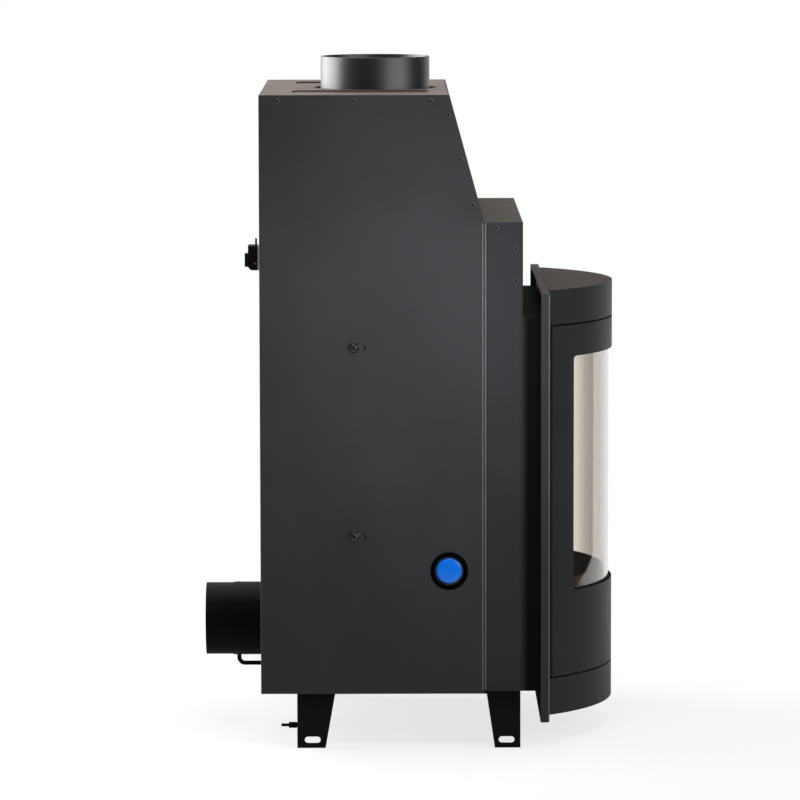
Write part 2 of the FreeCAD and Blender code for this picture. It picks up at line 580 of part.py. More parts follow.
# Lining boards, hearth slab, grate, ash pan, baffles and log guard.
lining_half = f"({chamber_half} - lining_gauge)"
lining_z = (hearth_top, lining_top)
piece(block("lining_back", across(lining_half),
            (firebox_back_front, f"{firebox_back_front} + lining_gauge"), lining_z))
piece(block("lining_left", (f"-{chamber_half}", f"-{lining_half}"), (firebox_back_front, lining_front),
            lining_z))
piece(block("lining_right", (lining_half, chamber_half), (firebox_back_front, lining_front), lining_z))
grate_room = "(grate_size/2 + grate_clearance)"
seat_height = f"({hearth_top} - grate_gauge)"
slab = block("slab", chamber, (firebox_back_front, lining_front), (hearth_base, hearth_top))
grate_pocket = block("grate_pocket", across(grate_room),
                     (f"grate_depth - {grate_room}", f"grate_depth + {grate_room}"),
                     (seat_height, f"{hearth_top} + {cut_room}"))
fall = f"({grate_room} - grate_seat)"
ash_fall = block("ash_fall", across(fall), (f"grate_depth - {fall}", f"grate_depth + {fall}"),
                 (f"{hearth_base} - {cut_room}", hearth_top))
piece(cut("hearth_slab", slab, grate_pocket, ash_fall))
grate = pad("fire_grate", "XY_Plane", rectangle(across("grate_size/2"), across("grate_size/2")),
            "grate_gauge")
place(grate, "0", "grate_depth", seat_height)
first_slot = "((grate_slots - 1)/2*grate_slot_pitch)"
slot_x = (f"-{first_slot} - grate_slot_width/2", f"-{first_slot} + grate_slot_width/2")
slot_cut = grate.newObject("PartDesign::Pocket", "grate_slot")
slot_cut.Profile = outline(grate, "grate_slot_outline", "XY_Plane",
                           rectangle(slot_x, across("grate_slot_length/2")))
slot_cut.Type = "ThroughAll"
slot_cut.Reversed = True
slot_row = grate.newObject("PartDesign::LinearPattern", "grate_slot_row")
slot_row.Originals = [slot_cut]
slot_row.Direction = (slot_cut.Profile[0], ["H_Axis"])
bind(slot_row, "Length", f"2*{first_slot}")
bind(slot_row, "Occurrences", "grate_slots")
grate.Tip = slot_row
piece(grate)
pan_half = "(pan_width/2)"
pan_span = ("grate_depth - pan_length/2", "grate_depth + pan_length/2")
pan_z = (firebox_floor_top, f"{firebox_floor_top} + pan_height")
pan_hollow = block("pan_hollow", across(f"{pan_half} - pan_gauge"),
                   (f"{pan_span[0]} + pan_gauge", f"{pan_span[1]} - pan_gauge"),
                   (f"{pan_z[0]} + pan_gauge", f"{pan_z[1]} + {cut_room}"))
piece(cut("ash_pan", block("pan_blank", across(pan_half), pan_span, pan_z), pan_hollow))
piece(block("baffle_board", chamber, (firebox_back_front, f"{firebox_back_front} + board_length"),
            (lining_top, board_top)))
piece(block("baffle_plate", chamber, ("baffle_start", header_inner),
            (baffle_base, f"{baffle_base} + baffle_gauge")))
guard_rear = f"({lining_front} - guard_foot)"
piece(side_plate("log_guard", across(lining_half),
                 [(guard_rear, hearth_top), (lining_front, hearth_top),
                  (lining_front, f"{hearth_top} + guard_gauge"),
                  (f"{guard_rear} + guard_gauge", f"{hearth_top} + guard_gauge"),
                  (f"{guard_rear} + guard_gauge", f"{hearth_top} + guard_height"),
                  (guard_rear, f"{hearth_top} + guard_height")]))

# Combustion air: box behind the firebox, inlet spigot and damper.
air_z = ("inlet_height - air_box_height/2", "inlet_height + air_box_height/2")
air_box_blank = block("air_box_blank", across("air_box_width/2"), ("sheet_gauge", "firebox_rear"), air_z)
air_box_hollow = block("air_box_hollow", across("air_box_width/2 - sheet_gauge"),
                       ("2*sheet_gauge", f"firebox_rear + {cut_room}"),
                       (f"{air_z[0]} + sheet_gauge", f"{air_z[1]} - sheet_gauge"))
inlet_inner = "(inlet_radius - inlet_gauge)"
air_box_hole = rod("air_box_hole", inlet_inner, "0",
                   (f"sheet_gauge - {cut_room}", f"2*sheet_gauge + {cut_room}"), "inlet_height")
piece(cut("air_box", air_box_blank, air_box_hollow, air_box_hole))
spigot_step = "(spigot_length - inlet_length)"
inlet_end = rod("inlet_end", "inlet_radius", "0", ("-inlet_length", spigot_step), "inlet_height")
inlet_body = rod("inlet_body", "inlet_radius + inlet_step", "0", (spigot_step, "sheet_gauge"),
                 "inlet_height")
inlet_bore = rod("inlet_bore", inlet_inner, "0",
                 (f"-inlet_length - {cut_room}", f"sheet_gauge + {cut_room}"), "inlet_height")
spindle_top = "(inlet_height + inlet_radius + inlet_step + spindle_stub)"
lever_height = "(inlet_height - inlet_radius - inlet_step - lever_drop)"
spindle_hole = rod("spindle_hole", "spindle_radius + running_clearance", "0", "-damper_depth",
                   (lever_height, spindle_top))
piece(cut("air_inlet_spigot", join("inlet_blank", inlet_end, inlet_body), inlet_bore, spindle_hole))
disc_x = "(spindle_radius + running_clearance)"
piece(rod("damper_disc", "disc_radius", (disc_x, f"{disc_x} + disc_gauge"), "-damper_depth",
          "inlet_height"))
bend_height = f"({lever_height} + lever_bend)"
spindle_rod = rod("spindle_rod", "spindle_radius", "0", "-damper_depth", (bend_height, spindle_top))
spindle_bend = doc.addObject("Part::Torus", "spindle_bend")
spindle_bend.Placement = FreeCAD.Placement(FreeCAD.Vector(), lever_turn)
bind(spindle_bend, "Radius1", "lever_bend")
bind(spindle_bend, "Radius2", "spindle_radius")
spindle_bend.Angle3 = 90
place(spindle_bend, "0", "lever_bend - damper_depth", bend_height)
spindle_lever = rod("spindle_lever", "spindle_radius", "0",
                    ("lever_bend - damper_depth", "lever_length - damper_depth"), lever_height)
piece(join("damper_spindle", spindle_rod, spindle_bend, spindle_lever))

# Front flange: a folded tray with the firebox mouth.
flange_half = f"({half_width} + flange_overhang)"
flange_blank = front_block("flange_blank", across(flange_half), (flange_rear, flange_front),
                           ("flange_bottom", flange_top), "flange_corner")
rounding(flange_blank, "flange_edge", at_limit(flange_blank, "YMin"))
flange_hollow = block("flange_hollow", across(f"{flange_half} - flange_gauge"),
                      (f"{flange_rear} - {cut_room}", f"{flange_front} - flange_gauge"),
                      ("flange_bottom + flange_gauge", f"{flange_top} - flange_gauge"))
mouth = block("mouth", across("mouth_width/2"), (flange_rear, f"{flange_front} + {cut_room}"),
              (mouth_base, mouth_top))
piece(cut("front_flange", flange_blank, flange_hollow, mouth))


def bay_cap(name, z, pin_z):
    # closed half-round box in front of the flange, with the hole of one hinge pin
    limits = block(name + "_limits", across("bay_radius"), (flange_front, front_reach), z)
    shell = common(name + "_shell", bay_solid(name + "_outer", "bay_radius", z), limits)
    inner_z = (f"{z[0]} + bay_gauge", f"{z[1]} - bay_gauge")
    hollow = common(name + "_hollow", bay_solid(name + "_inner", bay_inner, inner_z),
                    block(name + "_room", across("bay_radius"), (flange_front, front_reach), inner_z))
    pin_hole = rod(name + "_pin_hole", "pin_radius + running_clearance", hinge_x, hinge_depth, pin_z)
    return piece(cut(name, shell, hollow, pin_hole))


cap_low = f"({flange_top} - top_cap_height)"
cap_high = "(flange_bottom + bottom_cap_height)"
bay_cap("bay_top_cap", (cap_low, flange_top),
        (f"{cap_low} - {cut_room}", f"{door_top} + pin_reach + {cut_room}"))
bay_cap("bay_bottom_cap", ("flange_bottom", cap_high),
        (f"{door_base} - pin_reach - {cut_room}", f"{cap_high} + {cut_room}"))

# Door: curved skin rolled into a knuckle at the hinge side, end plates, rear frame and seals.
door_z = (door_base, door_top)
skin_start = f"({flange_front} + door_gap)"
hinge_side = pad("hinge_side", "XY_Plane",
                 [("0", f"{rear} - {bay_axis}"), (f"2*{hinge_x}", f"{rear} - {bay_axis}"),
                  (f"2*{hinge_x}", f"{rear} - {bay_axis} - 2*{hinge_reach}")],
                 f"{door_top} - {door_base}")
bind(hinge_side, "Placement.Base.z", door_base)
skin_ring = cut("skin_ring", bay_solid("skin_outer", "bay_radius", door_z),
                bay_solid("skin_inner", bay_inner, door_z), hinge_side)
skin_limits = block("skin_limits", across("bay_radius"), (skin_start, front_reach), door_z)
knuckle = rod("knuckle", "knuckle_radius", hinge_x, hinge_depth, door_z)
window_cut = front_block("window_cut", across(window_half),
                         (flange_front, f"{front_reach} + {cut_room}"),
                         (window_base, window_top), "window_corner")
latch_hole = rod("latch_hole", "latch_radius + rosette_gap", "latch_offset", (frame_front, front_reach),
                 "latch_height")
pin_bores = [rod("pin_bore_top", "pin_radius + running_clearance", hinge_x, hinge_depth,
                 (f"{door_top} - pin_insert", door_top)),
             rod("pin_bore_base", "pin_radius + running_clearance", hinge_x, hinge_depth,
                 (door_base, f"{door_base} + pin_insert"))]
skin_blank = join("skin_blank", common("skin_curve", skin_ring, skin_limits), knuckle)
piece(cut("door_skin", skin_blank, window_cut, latch_hole, *pin_bores))
plates = []
for name, z in (("top", (f"{door_top} - bay_gauge", door_top)),
                ("base", (door_base, f"{door_base} + bay_gauge"))):
    room = block(f"end_limits_{name}", (f"{hinge_x} + knuckle_radius + fit_gap", "bay_radius"),
                 (frame_rear, front_reach), z)
    plates.append(common(f"end_plate_{name}", bay_solid(f"end_disc_{name}", bay_inner, z), room))
piece(group("door_end_plates", *plates))
frame_z = (f"{door_base} + bay_gauge", f"{door_top} - bay_gauge")


def upright_ring(name, half, depth, z, width):
    # rectangular ring facing the front
    hole = block(name + "_hole", across(f"{half} - ({width})"),
                 (f"{depth[0]} - {cut_room}", f"{depth[1]} + {cut_room}"),
                 (f"{z[0]} + ({width})", f"{z[1]} - ({width})"))
    return cut(name, block(name + "_blank", across(half), depth, z), hole)


frame_blank = upright_ring("frame_blank", frame_half, (frame_rear, frame_front), frame_z, "frame_bar")
rope_inset = "(frame_bar/2 - rope_width/2)"
rope_half = f"({frame_half} - {rope_inset})"
rope_z = (f"{frame_z[0]} + {rope_inset}", f"{frame_z[1]} - {rope_inset}")
rope_room = upright_ring("rope_room", f"{rope_half} + rope_side_gap",
                         (f"{frame_rear} - {cut_room}", f"{frame_rear} + rope_depth"),
                         (f"{rope_z[0]} - rope_side_gap", f"{rope_z[1]} + rope_side_gap"),
                         "rope_width + 2*rope_side_gap")
piece(cut("door_frame", frame_blank, rope_room))
piece(upright_ring("door_seal", rope_half, (f"{flange_front} + rope_gap", f"{frame_rear} + rope_depth"),
                   rope_z, "rope_width"))
piece(bay_sheet("door_glass", glass_outer, glass_inner, glass_half, frame_front, (glass_base, glass_top)))
gasket_sheet = bay_sheet("gasket_sheet", f"{bay_inner} - fit_gap", f"{glass_outer} + fit_gap", glass_half,
                         frame_front, (glass_base, glass_top))
gasket_window = block("gasket_window", across(f"{window_half} + gasket_inset"),
                      (frame_front, f"{front_reach} + {cut_room}"),
                      (f"{window_base} - gasket_inset", f"{window_top} + gasket_inset"))
piece(cut("glass_gasket", gasket_sheet, gasket_window))


def glass_clip(name, points):
    # curved angle strip that holds one edge of the glass against the skin
    body = doc.addObject("PartDesign::Body", name)
    feature = body.newObject("PartDesign::Revolution", name + "_turn")
    feature.Profile = outline(body, name + "_outline", "XZ_Plane", points)
    feature.ReferenceAxis = (feature.Profile[0], ["V_Axis"])
    bind(feature, "Angle", "clip_angle")
    feature.Midplane = True
    body.Tip = feature
    body.Placement = FreeCAD.Placement(FreeCAD.Vector(), FreeCAD.Rotation(FreeCAD.Vector(0, 0, 1), -90))
    return place(body, "0", bay_axis, "0")


clip_inner = f"({glass_inner} - fit_gap - clip_gauge)"
clip_outer = f"({glass_inner} - fit_gap)"
clips = []
for name, edge, sign in (("clip_base", glass_base, "-"), ("clip_top", glass_top, "+")):
    inward = "+" if sign == "-" else "-"
    near = f"({edge} {sign} fit_gap)"
    far = f"({near} {sign} clip_foot)"
    tip = f"({near} {inward} clip_lap)"
    corners = [(clip_inner, far), (bay_inner, far), (bay_inner, near), (clip_outer, near),
               (clip_outer, tip), (clip_inner, tip)]
    clips.append(glass_clip(name, corners))
piece(group("glass_clips", *clips))
piece(group("hinge_pins",
            rod("pin_top", "pin_radius", hinge_x, hinge_depth,
                (f"{door_top} - pin_insert", f"{door_top} + pin_reach")),
            rod("pin_base", "pin_radius", hinge_x, hinge_depth,
                (f"{door_base} - pin_reach", f"{door_base} + pin_insert"))))

# Latch: bracket on the frame, rosette on the skin, tongue behind the flange, handle in front.
latch_bore = rod("latch_bore", "latch_radius + running_clearance", "latch_offset", (tongue_rear, hub_rear),
                 "latch_height")
bracket = block("bracket_plate", ("latch_offset - bracket_reach", f"{frame_half} - bracket_gauge"),
                (frame_front, f"{frame_front} + bracket_gauge"),
                ("latch_height - bracket_height/2", "latch_height + bracket_height/2"))
rosette_bar = rod("rosette_bar", "rosette_radius", "latch_offset",
                  (frame_front, f"{hub_rear} - rosette_gap"), "latch_height")
rosette_seat = bay_solid("rosette_seat", "bay_radius", door_z)
piece(group("latch_bearings", cut("latch_bracket", bracket, latch_bore),
            cut("latch_rosette", rosette_bar, rosette_seat, latch_bore)))
tongue_tip = "(latch_height - tongue_length)"
tongue_depth = (tongue_rear, tongue_front)
tongue_blank = join("tongue_blank",
                    rod("tongue_head", "tongue_radius", "latch_offset", tongue_depth, "latch_height"),
                    block("tongue_bar", ("latch_offset - tongue_radius", "latch_offset + tongue_radius"),
                          tongue_depth, (tongue_tip, "latch_height")))
piece(cut("latch_tongue", tongue_blank, latch_bore))
hub_front = f"({hub_rear} + hub_length)"
grip_rear = f"({hub_front} - grip_gauge)"
grip_end = "(latch_height - grip_length)"
piece(join("door_handle",
           rod("handle_spindle", "latch_radius", "latch_offset", (tongue_rear, hub_rear), "latch_height"),
           rod("handle_hub", "hub_radius", "latch_offset", (hub_rear, hub_front), "latch_height"),
           block("handle_grip", ("latch_offset - grip_radius", "latch_offset + grip_radius"),
                 (grip_rear, hub_front), (grip_end, "latch_height")),
           rod("handle_end", "grip_radius", "latch_offset", (grip_rear, hub_front), grip_end)))

# Legs: tapered plates with a fold, a slot at each foot, and the rails that carry them.
leg_outer = f"({half_width} - leg_inset)"
leg_x = (f"-{leg_outer}", f"-{leg_outer} + leg_gauge")
fold_x = (f"-{leg_outer} + leg_gauge", f"-{leg_outer} + leg_fold")
rear_leg_points = [("rear_leg_depth", "0"), ("rear_leg_depth + rear_leg_foot", "0"),
                   ("rear_leg_depth + rear_leg_top", firebox_base), ("rear_leg_depth", firebox_base)]
front_leg_points = [("front_leg_depth - front_leg_foot", "0"), ("front_leg_depth", "0"),
                    ("front_leg_depth", firebox_base), ("front_leg_depth - front_leg_top", firebox_base)]
legs = (("leg_rear", rear_leg_points, ("rear_leg_depth", "rear_leg_depth + leg_gauge"),
         "rear_leg_depth + rear_slot_inset"),
        ("leg_front", front_leg_points, ("front_leg_depth - leg_gauge", "front_leg_depth"),
         "front_leg_depth - front_slot_inset"))
for name, points, fold_depth, slot_depth in legs:
    foot_slot = slot(name + "_slot", "foot_slot_length", "foot_slot_width",
                     (f"{leg_x[0]} - {cut_room}", f"{leg_x[1]} + {cut_room}"), slot_depth,
                     "foot_slot_height")
    fold = block(name + "_fold", fold_x, fold_depth, ("0", firebox_base))
    leg = piece(cut(name + "_left", join(name + "_blank", side_plate(name + "_plate", leg_x, points), fold),
                    foot_slot))
    piece(mirrored(name + "_right", leg))
rail = block("rail_left", (fold_x[0], f"{fold_x[0]} + rail_width"),
             ("rear_leg_depth + leg_gauge", "front_leg_depth - leg_gauge"),
             (f"{firebox_base} - rail_height", firebox_base))
piece(group("base_rails", rail, mirrored("rail_right", rail)))
spacer_x = f"(-{leg_outer} + leg_fold/2)"
spacer_end = "(rear_leg_depth - spacer_length)"
piece(join("rear_spacer",
           rod("spacer_bush", "spacer_radius", spacer_x, (spacer_end, "rear_leg_depth"), "spacer_height"),
           rod("spacer_pin", "spacer_pin_radius", spacer_x,
               (f"{spacer_end} - spacer_pin_length", spacer_end), "spacer_height")))

# Plugged side port: grommet in the casing side and the cap that pulls out of it.
bezel_face = f"(-{half_width} - bezel_gauge)"
bezel = rod("bezel", "bezel_radius", (bezel_face, f"-{half_width}"), port_depth, "port_height")
sleeve_end = f"(-{half_width} + port_sleeve)"
sleeve = rod("sleeve", "port_radius - running_clearance", (f"-{half_width}", sleeve_end), port_depth,
             "port_height")
port_bore = rod("port_bore", "port_bore", (f"{bezel_face} - {cut_room}", f"{sleeve_end} + {cut_room}"),
                port_depth, "port_height")
piece(cut("side_port_grommet", join("grommet_blank", bezel, sleeve), port_bore))
plug_end = f"({bezel_face} + plug_face_rise + plug_length)"
plug_face = rod("plug_face", "plug_face_radius", (bezel_face, f"{bezel_face} + plug_face_rise"),
                port_depth, "port_height")
plug_body = rod("plug_body", "port_bore - plug_clearance", (f"{bezel_face} + plug_face_rise", plug_end),
                port_depth, "port_height")
plug_hollow = rod("plug_hollow", "port_bore - plug_clearance - plug_wall",
                  (f"{bezel_face} + plug_face_rise + plug_wall", f"{plug_end} + {cut_room}"), port_depth,
                  "port_height")
piece(cut("side_port_cap", join("plug_blank", plug_face, plug_body), plug_hollow))

# Terminal block on the rear panel.
block_x = ("-terminal_offset - terminal_width/2", "-terminal_offset + terminal_width/2")
block_top = "(terminal_height + block_height)"
block_rear = "(-base_gauge - block_depth)"
piece(block("terminal_base", block_x, ("-base_gauge", "0"), ("terminal_height", block_top)))
block_points = [("-base_gauge", "terminal_height"), ("-base_gauge", block_top), (block_rear, block_top),
                (block_rear, "terminal_height + block_chamfer"),
                (f"{block_rear} + block_chamfer", "terminal_height")]
boss = block("terminal_boss", ("-terminal_offset - boss_width/2", "-terminal_offset + boss_width/2"),
             (f"{block_rear} - boss_rise", block_rear),
             ("terminal_height + boss_lift", "terminal_height + boss_lift + boss_height"))
piece(join("terminal_block", side_plate("terminal_body", block_x, block_points), boss))
tab_front = "(-base_gauge - tab_setback)"
piece(block("terminal_tab", ("-terminal_offset - tab_width/2", "-terminal_offset + tab_width/2"),
            (f"{tab_front} - tab_gauge", tab_front), (block_top, f"{block_top} + tab_height")))

doc.recompute()
for item in doc.Objects:
    if {"Invalid", "Error"} & set(item.State):
        raise RuntimeError(f"{item.Name} did not recompute")
for item in pieces:
    if item.Shape.isNull() or not item.Shape.isValid():
        raise RuntimeError(f"{item.Label} has no valid shape")
os.makedirs("parts", exist_ok=True)
for item in pieces:
    item.Shape.exportStep(f"parts/{item.Label}.step")
print(len(pieces), "pieces")
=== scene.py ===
from math import asin, degrees, hypot, radians

import bpy
from mathutils import Euler, Matrix, Vector


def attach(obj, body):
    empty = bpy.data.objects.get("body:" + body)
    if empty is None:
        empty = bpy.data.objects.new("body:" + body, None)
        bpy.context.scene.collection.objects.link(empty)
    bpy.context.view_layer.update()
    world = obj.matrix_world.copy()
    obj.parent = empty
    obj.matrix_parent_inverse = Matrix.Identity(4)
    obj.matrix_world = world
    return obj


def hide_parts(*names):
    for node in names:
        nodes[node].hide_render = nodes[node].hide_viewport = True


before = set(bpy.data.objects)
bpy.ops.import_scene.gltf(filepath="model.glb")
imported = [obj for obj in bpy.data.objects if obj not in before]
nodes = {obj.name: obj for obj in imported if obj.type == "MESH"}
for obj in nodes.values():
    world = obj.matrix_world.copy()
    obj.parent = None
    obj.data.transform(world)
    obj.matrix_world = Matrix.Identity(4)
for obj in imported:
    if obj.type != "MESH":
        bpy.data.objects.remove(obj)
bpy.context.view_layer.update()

scene = bpy.context.scene
mm = 0.001


# a Wire is one output socket, and takes part in sums like a number
class Wire:
    def __init__(self, finish, socket):
        self.finish = finish
        self.socket = socket

    def math(self, operation, other, flipped=False):
        ends = [other, self] if flipped else [self, other]
        return self.finish.node("ShaderNodeMath", {"operation": operation}, {0: ends[0], 1: ends[1]})

    def __add__(self, other):
        return self.math("ADD", other)

    def __sub__(self, other):
        return self.math("SUBTRACT", other)

    def __rsub__(self, other):
        return self.math("SUBTRACT", other, True)

    def __mul__(self, other):
        return self.math("MULTIPLY", other)

    __radd__ = __add__
    __rmul__ = __mul__


# a Finish is one material, or the world, with the nodes that are added to it
class Finish:
    def __init__(self, name, data=None):
        self.material = data or bpy.data.materials.new(name)
        self.material.use_nodes = True
        self.tree = self.material.node_tree
        self.shader = self.tree.nodes["Background" if data else "Principled BSDF"]
        self.place = None

    def node(self, kind, settings, sockets, output=0):
        made = self.tree.nodes.new(kind)
        for name, value in settings.items():
            setattr(made, name, value)
        for name, value in sockets.items():
            self.plug(made.inputs[name], value)
        return Wire(self, made.outputs[output])

    def plug(self, socket, value):
        if isinstance(value, Wire):
            self.tree.links.new(value.socket, socket)
        else:
            socket.default_value = value

    def set(self, **values):
        for name, value in values.items():
            self.plug(self.shader.inputs[socketNames[name]], value)
        return self.material

    def where(self):
        if self.place is None:
            self.place = self.node("ShaderNodeTexCoord", {}, {}, "Object")
        return self.place

    def axis(self, name):
        return self.node("ShaderNodeSeparateXYZ", {}, {"Vector": self.where()}, name)

    def noise(self, scale, detail=3.0, roughness=0.55, stretch=(1, 1, 1)):
        place = self.node("ShaderNodeMapping", {}, {"Vector": self.where(), "Scale": stretch})
        return self.node("ShaderNodeTexNoise", {}, {"Vector": place, "Scale": scale, "Detail": detail,
                                                    "Roughness": roughness}, "Fac")

    def cells(self, scale, output="Distance"):
        return self.node("ShaderNodeTexVoronoi", {}, {"Vector": self.where(), "Scale": scale}, output)

    def span(self, value, low, high, start=0.0, end=1.0):
        return self.node("ShaderNodeMapRange", {"interpolation_type": "SMOOTHSTEP"},
                         {"Value": value, "From Min": low, "From Max": high, "To Min": start, "To Max": end})

    def blend(self, factor, first, second):
        return self.node("ShaderNodeMix", {"data_type": "RGBA"}, {0: factor, 6: first, 7: second}, 2)

    def bump(self, height, strength, distance):
        return self.node("ShaderNodeBump", {}, {"Strength": strength, "Distance": distance, "Height": height})


socketNames = {
    "colour": "Base Color", "roughness": "Roughness", "metallic": "Metallic", "normal": "Normal",
    "specular": "Specular IOR Level", "transmission": "Transmission Weight", "ior": "IOR", "sheen": "Sheen Weight",
}


def rgb(red, green, blue):
    return (red, green, blue, 1.0)


def grey(tone):
    return rgb(tone, tone, tone)


def shade(colour, factor):
    return tuple(min(1.0, channel * factor) for channel in colour[:3]) + (1.0,)


# paints, metals, boards, plastics and glass of the stove
paintLook = {"cloudScale": 5.0, "patch": 0.1, "smearScale": 14.0, "paintedShade": rgb(0.003, 0.003, 0.0033),
             "bump": 0.3, "depth": 0.00005}


def makePaint(name, colour, roughness, grain=1500, specular=0.5, paintedShadeFrom=None, dust=0.0, dustAndTopLightTone=None):
    finish = Finish(name)
    cloud = finish.noise(paintLook["cloudScale"], 4.0)
    fine = finish.noise(grain, 2.0, 0.6)
    tone = finish.blend(finish.span(cloud, 0.3, 0.7), shade(colour, 1 - paintLook["patch"]),
                        shade(colour, 1 + paintLook["patch"]))
    if paintedShadeFrom:  # painted shade: the paint turns near black beside the throat, where the flange shades it
        near = finish.span(finish.axis("Y"), paintedShadeFrom[1], paintedShadeFrom[0])
        tone = finish.blend(near, paintLook["paintedShade"], tone)
    rough = roughness - 0.08 + 0.1 * finish.noise(paintLook["smearScale"], 5.0) + 0.06 * fine
    if dustAndTopLightTone:  # faces that look up are duller with dust, and their lighter, warmer colour is painted top light
        facing = finish.node("ShaderNodeTexCoord", {}, {}, "Normal")
        upward = finish.span(finish.node("ShaderNodeSeparateXYZ", {}, {"Vector": facing}, "Z"), 0.5, 0.95)
        rough = rough + dust * upward
        tone = finish.blend(upward, tone, dustAndTopLightTone)
    return finish.set(colour=tone, roughness=rough, specular=specular,
                      normal=finish.bump(fine, paintLook["bump"], paintLook["depth"]))


steelLook = {"lineScale": 900, "stainScale": 9.0, "bump": 0.2, "depth": 0.00005}


def makeSteel(name, colour, roughness, brush=(1, 1, 1)):
    finish = Finish(name)
    lines = finish.noise(steelLook["lineScale"], 3.0, 0.6, brush)
    stain = finish.noise(steelLook["stainScale"], 5.0)
    tone = finish.blend(finish.span(stain, 0.3, 0.75), shade(colour, 0.82), shade(colour, 1.12))
    return finish.set(colour=tone, roughness=roughness - 0.08 + 0.12 * stain + 0.06 * lines, metallic=1.0,
                      normal=finish.bump(lines, steelLook["bump"], steelLook["depth"]))


castingLook = {"sandScale": 700, "stainScale": 16, "bump": 0.6, "depth": 0.0005}


def makeCasting(name, colour):
    finish = Finish(name)
    sand = finish.noise(castingLook["sandScale"], 6.0, 0.7)
    stain = finish.noise(castingLook["stainScale"], 5.0)
    tone = finish.blend(stain, shade(colour, 0.7), shade(colour, 1.35))
    return finish.set(colour=tone, roughness=0.62 + 0.2 * sand, specular=0.4,
                      normal=finish.bump(sand, castingLook["bump"], castingLook["depth"]))


boardLook = {"flakeScale": 260, "speckScale": 420, "cloudScale": 7, "flake": rgb(0.46, 0.34, 0.2), "tint": 0.12,
             "bump": 0.7, "depth": 0.0006}


def makeBoard(name, colour):
    finish = Finish(name)
    flakes = finish.cells(boardLook["flakeScale"])
    tint = finish.cells(boardLook["flakeScale"], "Color")
    speck = finish.noise(boardLook["speckScale"], 5.0, 0.65)
    cloud = finish.noise(boardLook["cloudScale"], 4.0)
    base = finish.blend(finish.span(cloud, 0.3, 0.7), shade(colour, 0.86), shade(colour, 1.1))
    gold = finish.blend(finish.span(flakes, 0.15, 0.55), boardLook["flake"], base)
    mixed = finish.blend(boardLook["tint"], gold, tint)
    return finish.set(colour=mixed, roughness=0.85 + 0.1 * speck, specular=0.3,
                      normal=finish.bump(flakes * 0.6 + speck * 0.4, boardLook["bump"], boardLook["depth"]))


mouldedLook = {"fineScale": 2200, "waveScale": 60, "bump": 0.12, "depth": 0.00004}


def makeMoulded(name, colour, roughness, specular=0.4):
    finish = Finish(name)
    fine = finish.noise(mouldedLook["fineScale"], 2.0)
    wave = finish.noise(mouldedLook["waveScale"], 3.0)
    tone = finish.blend(wave, shade(colour, 0.92), shade(colour, 1.08))
    return finish.set(colour=tone, roughness=roughness - 0.03 + 0.06 * wave, specular=specular,
                      normal=finish.bump(fine, mouldedLook["bump"], mouldedLook["depth"]))


braidLook = {"strandScale": 420, "fuzzScale": 1500, "sheen": 0.3, "bump": 0.8, "depth": 0.0007}


def makeBraid(name, colour):
    finish = Finish(name)
    strands = finish.cells(braidLook["strandScale"])
    fuzz = finish.noise(braidLook["fuzzScale"], 4.0)
    tone = finish.blend(finish.span(strands, 0.1, 0.7), shade(colour, 1.4), shade(colour, 0.5))
    return finish.set(colour=tone, roughness=0.9, sheen=braidLook["sheen"],
                      normal=finish.bump(strands * 0.7 + fuzz * 0.3, braidLook["bump"], braidLook["depth"]))


glassLook = {"face": rgb(0.95, 0.915, 0.86), "edge": rgb(0.58, 0.557, 0.518), "turnsDark": (0.41, 0.55),
             "hazeScale": 11, "haze": 0.02, "ior": 1.53}


def makeGlass(name):
    finish = Finish(name)
    haze = finish.noise(glassLook["hazeScale"], 4.0)
    edgeOn = finish.node("ShaderNodeLayerWeight", {}, {"Blend": 0.5}, "Facing")
    tint = finish.blend(finish.span(edgeOn, *glassLook["turnsDark"]), glassLook["face"], glassLook["edge"])
    return finish.set(colour=tint, roughness=finish.span(haze, 0.35, 0.8, 0.0, glassLook["haze"]),
                      transmission=1.0, ior=glassLook["ior"])


casingPaint = makePaint("casing_paint", rgb(0.03, 0.0305, 0.0332), 0.55, specular=0.12)
# painted shade: the cheek paint turns near black toward the flange
cheekPaint = makePaint("cheek_paint", rgb(0.0285, 0.029, 0.0318), 0.55, specular=0.04, paintedShadeFrom=(-0.146, -0.160))
# painted shade: near-black paint for the throat top and the mandrel holes, which lie in shade
paintedShadeBlack = makePaint("painted_shade_black", grey(0.008), 0.8, specular=0.02)
# painted highlight: edge paint much lighter than the sheets, for the rounded edges that catch the light
edgeHighlightPaint = makePaint("edge_highlight_paint", rgb(0.1, 0.1, 0.104), 0.4, specular=0.5)
# painted top light: the flange and door paints are lighter and warmer on faces that look up
flangePaint = makePaint("flange_paint", rgb(0.0265, 0.0263, 0.028), 0.5, specular=0.2, dust=0.25,
                        dustAndTopLightTone=rgb(0.045, 0.037, 0.034))
doorPaint = makePaint("door_paint", rgb(0.025, 0.0247, 0.0248), 0.5, 1900, specular=0.15, dust=0.25,
                      dustAndTopLightTone=rgb(0.04, 0.033, 0.0265))
# painted reflection: the top and hood paints are lighter and warmer than the casing paint, standing in for the light
# their top faces reflect
topLitPaint = makePaint("top_lit_paint", rgb(0.096, 0.068, 0.056), 0.52, 1900, specular=0.3)
hoodLitPaint = makePaint("hood_lit_paint", rgb(0.041, 0.034, 0.026), 0.65, 1900, specular=0.12)
rivetPaint = makePaint("rivet_paint", rgb(0.028, 0.0285, 0.0305), 0.32, specular=0.5)
collarPaint = makePaint("collar_paint", rgb(0.006, 0.006, 0.0064), 0.42, 1900, specular=1.0)
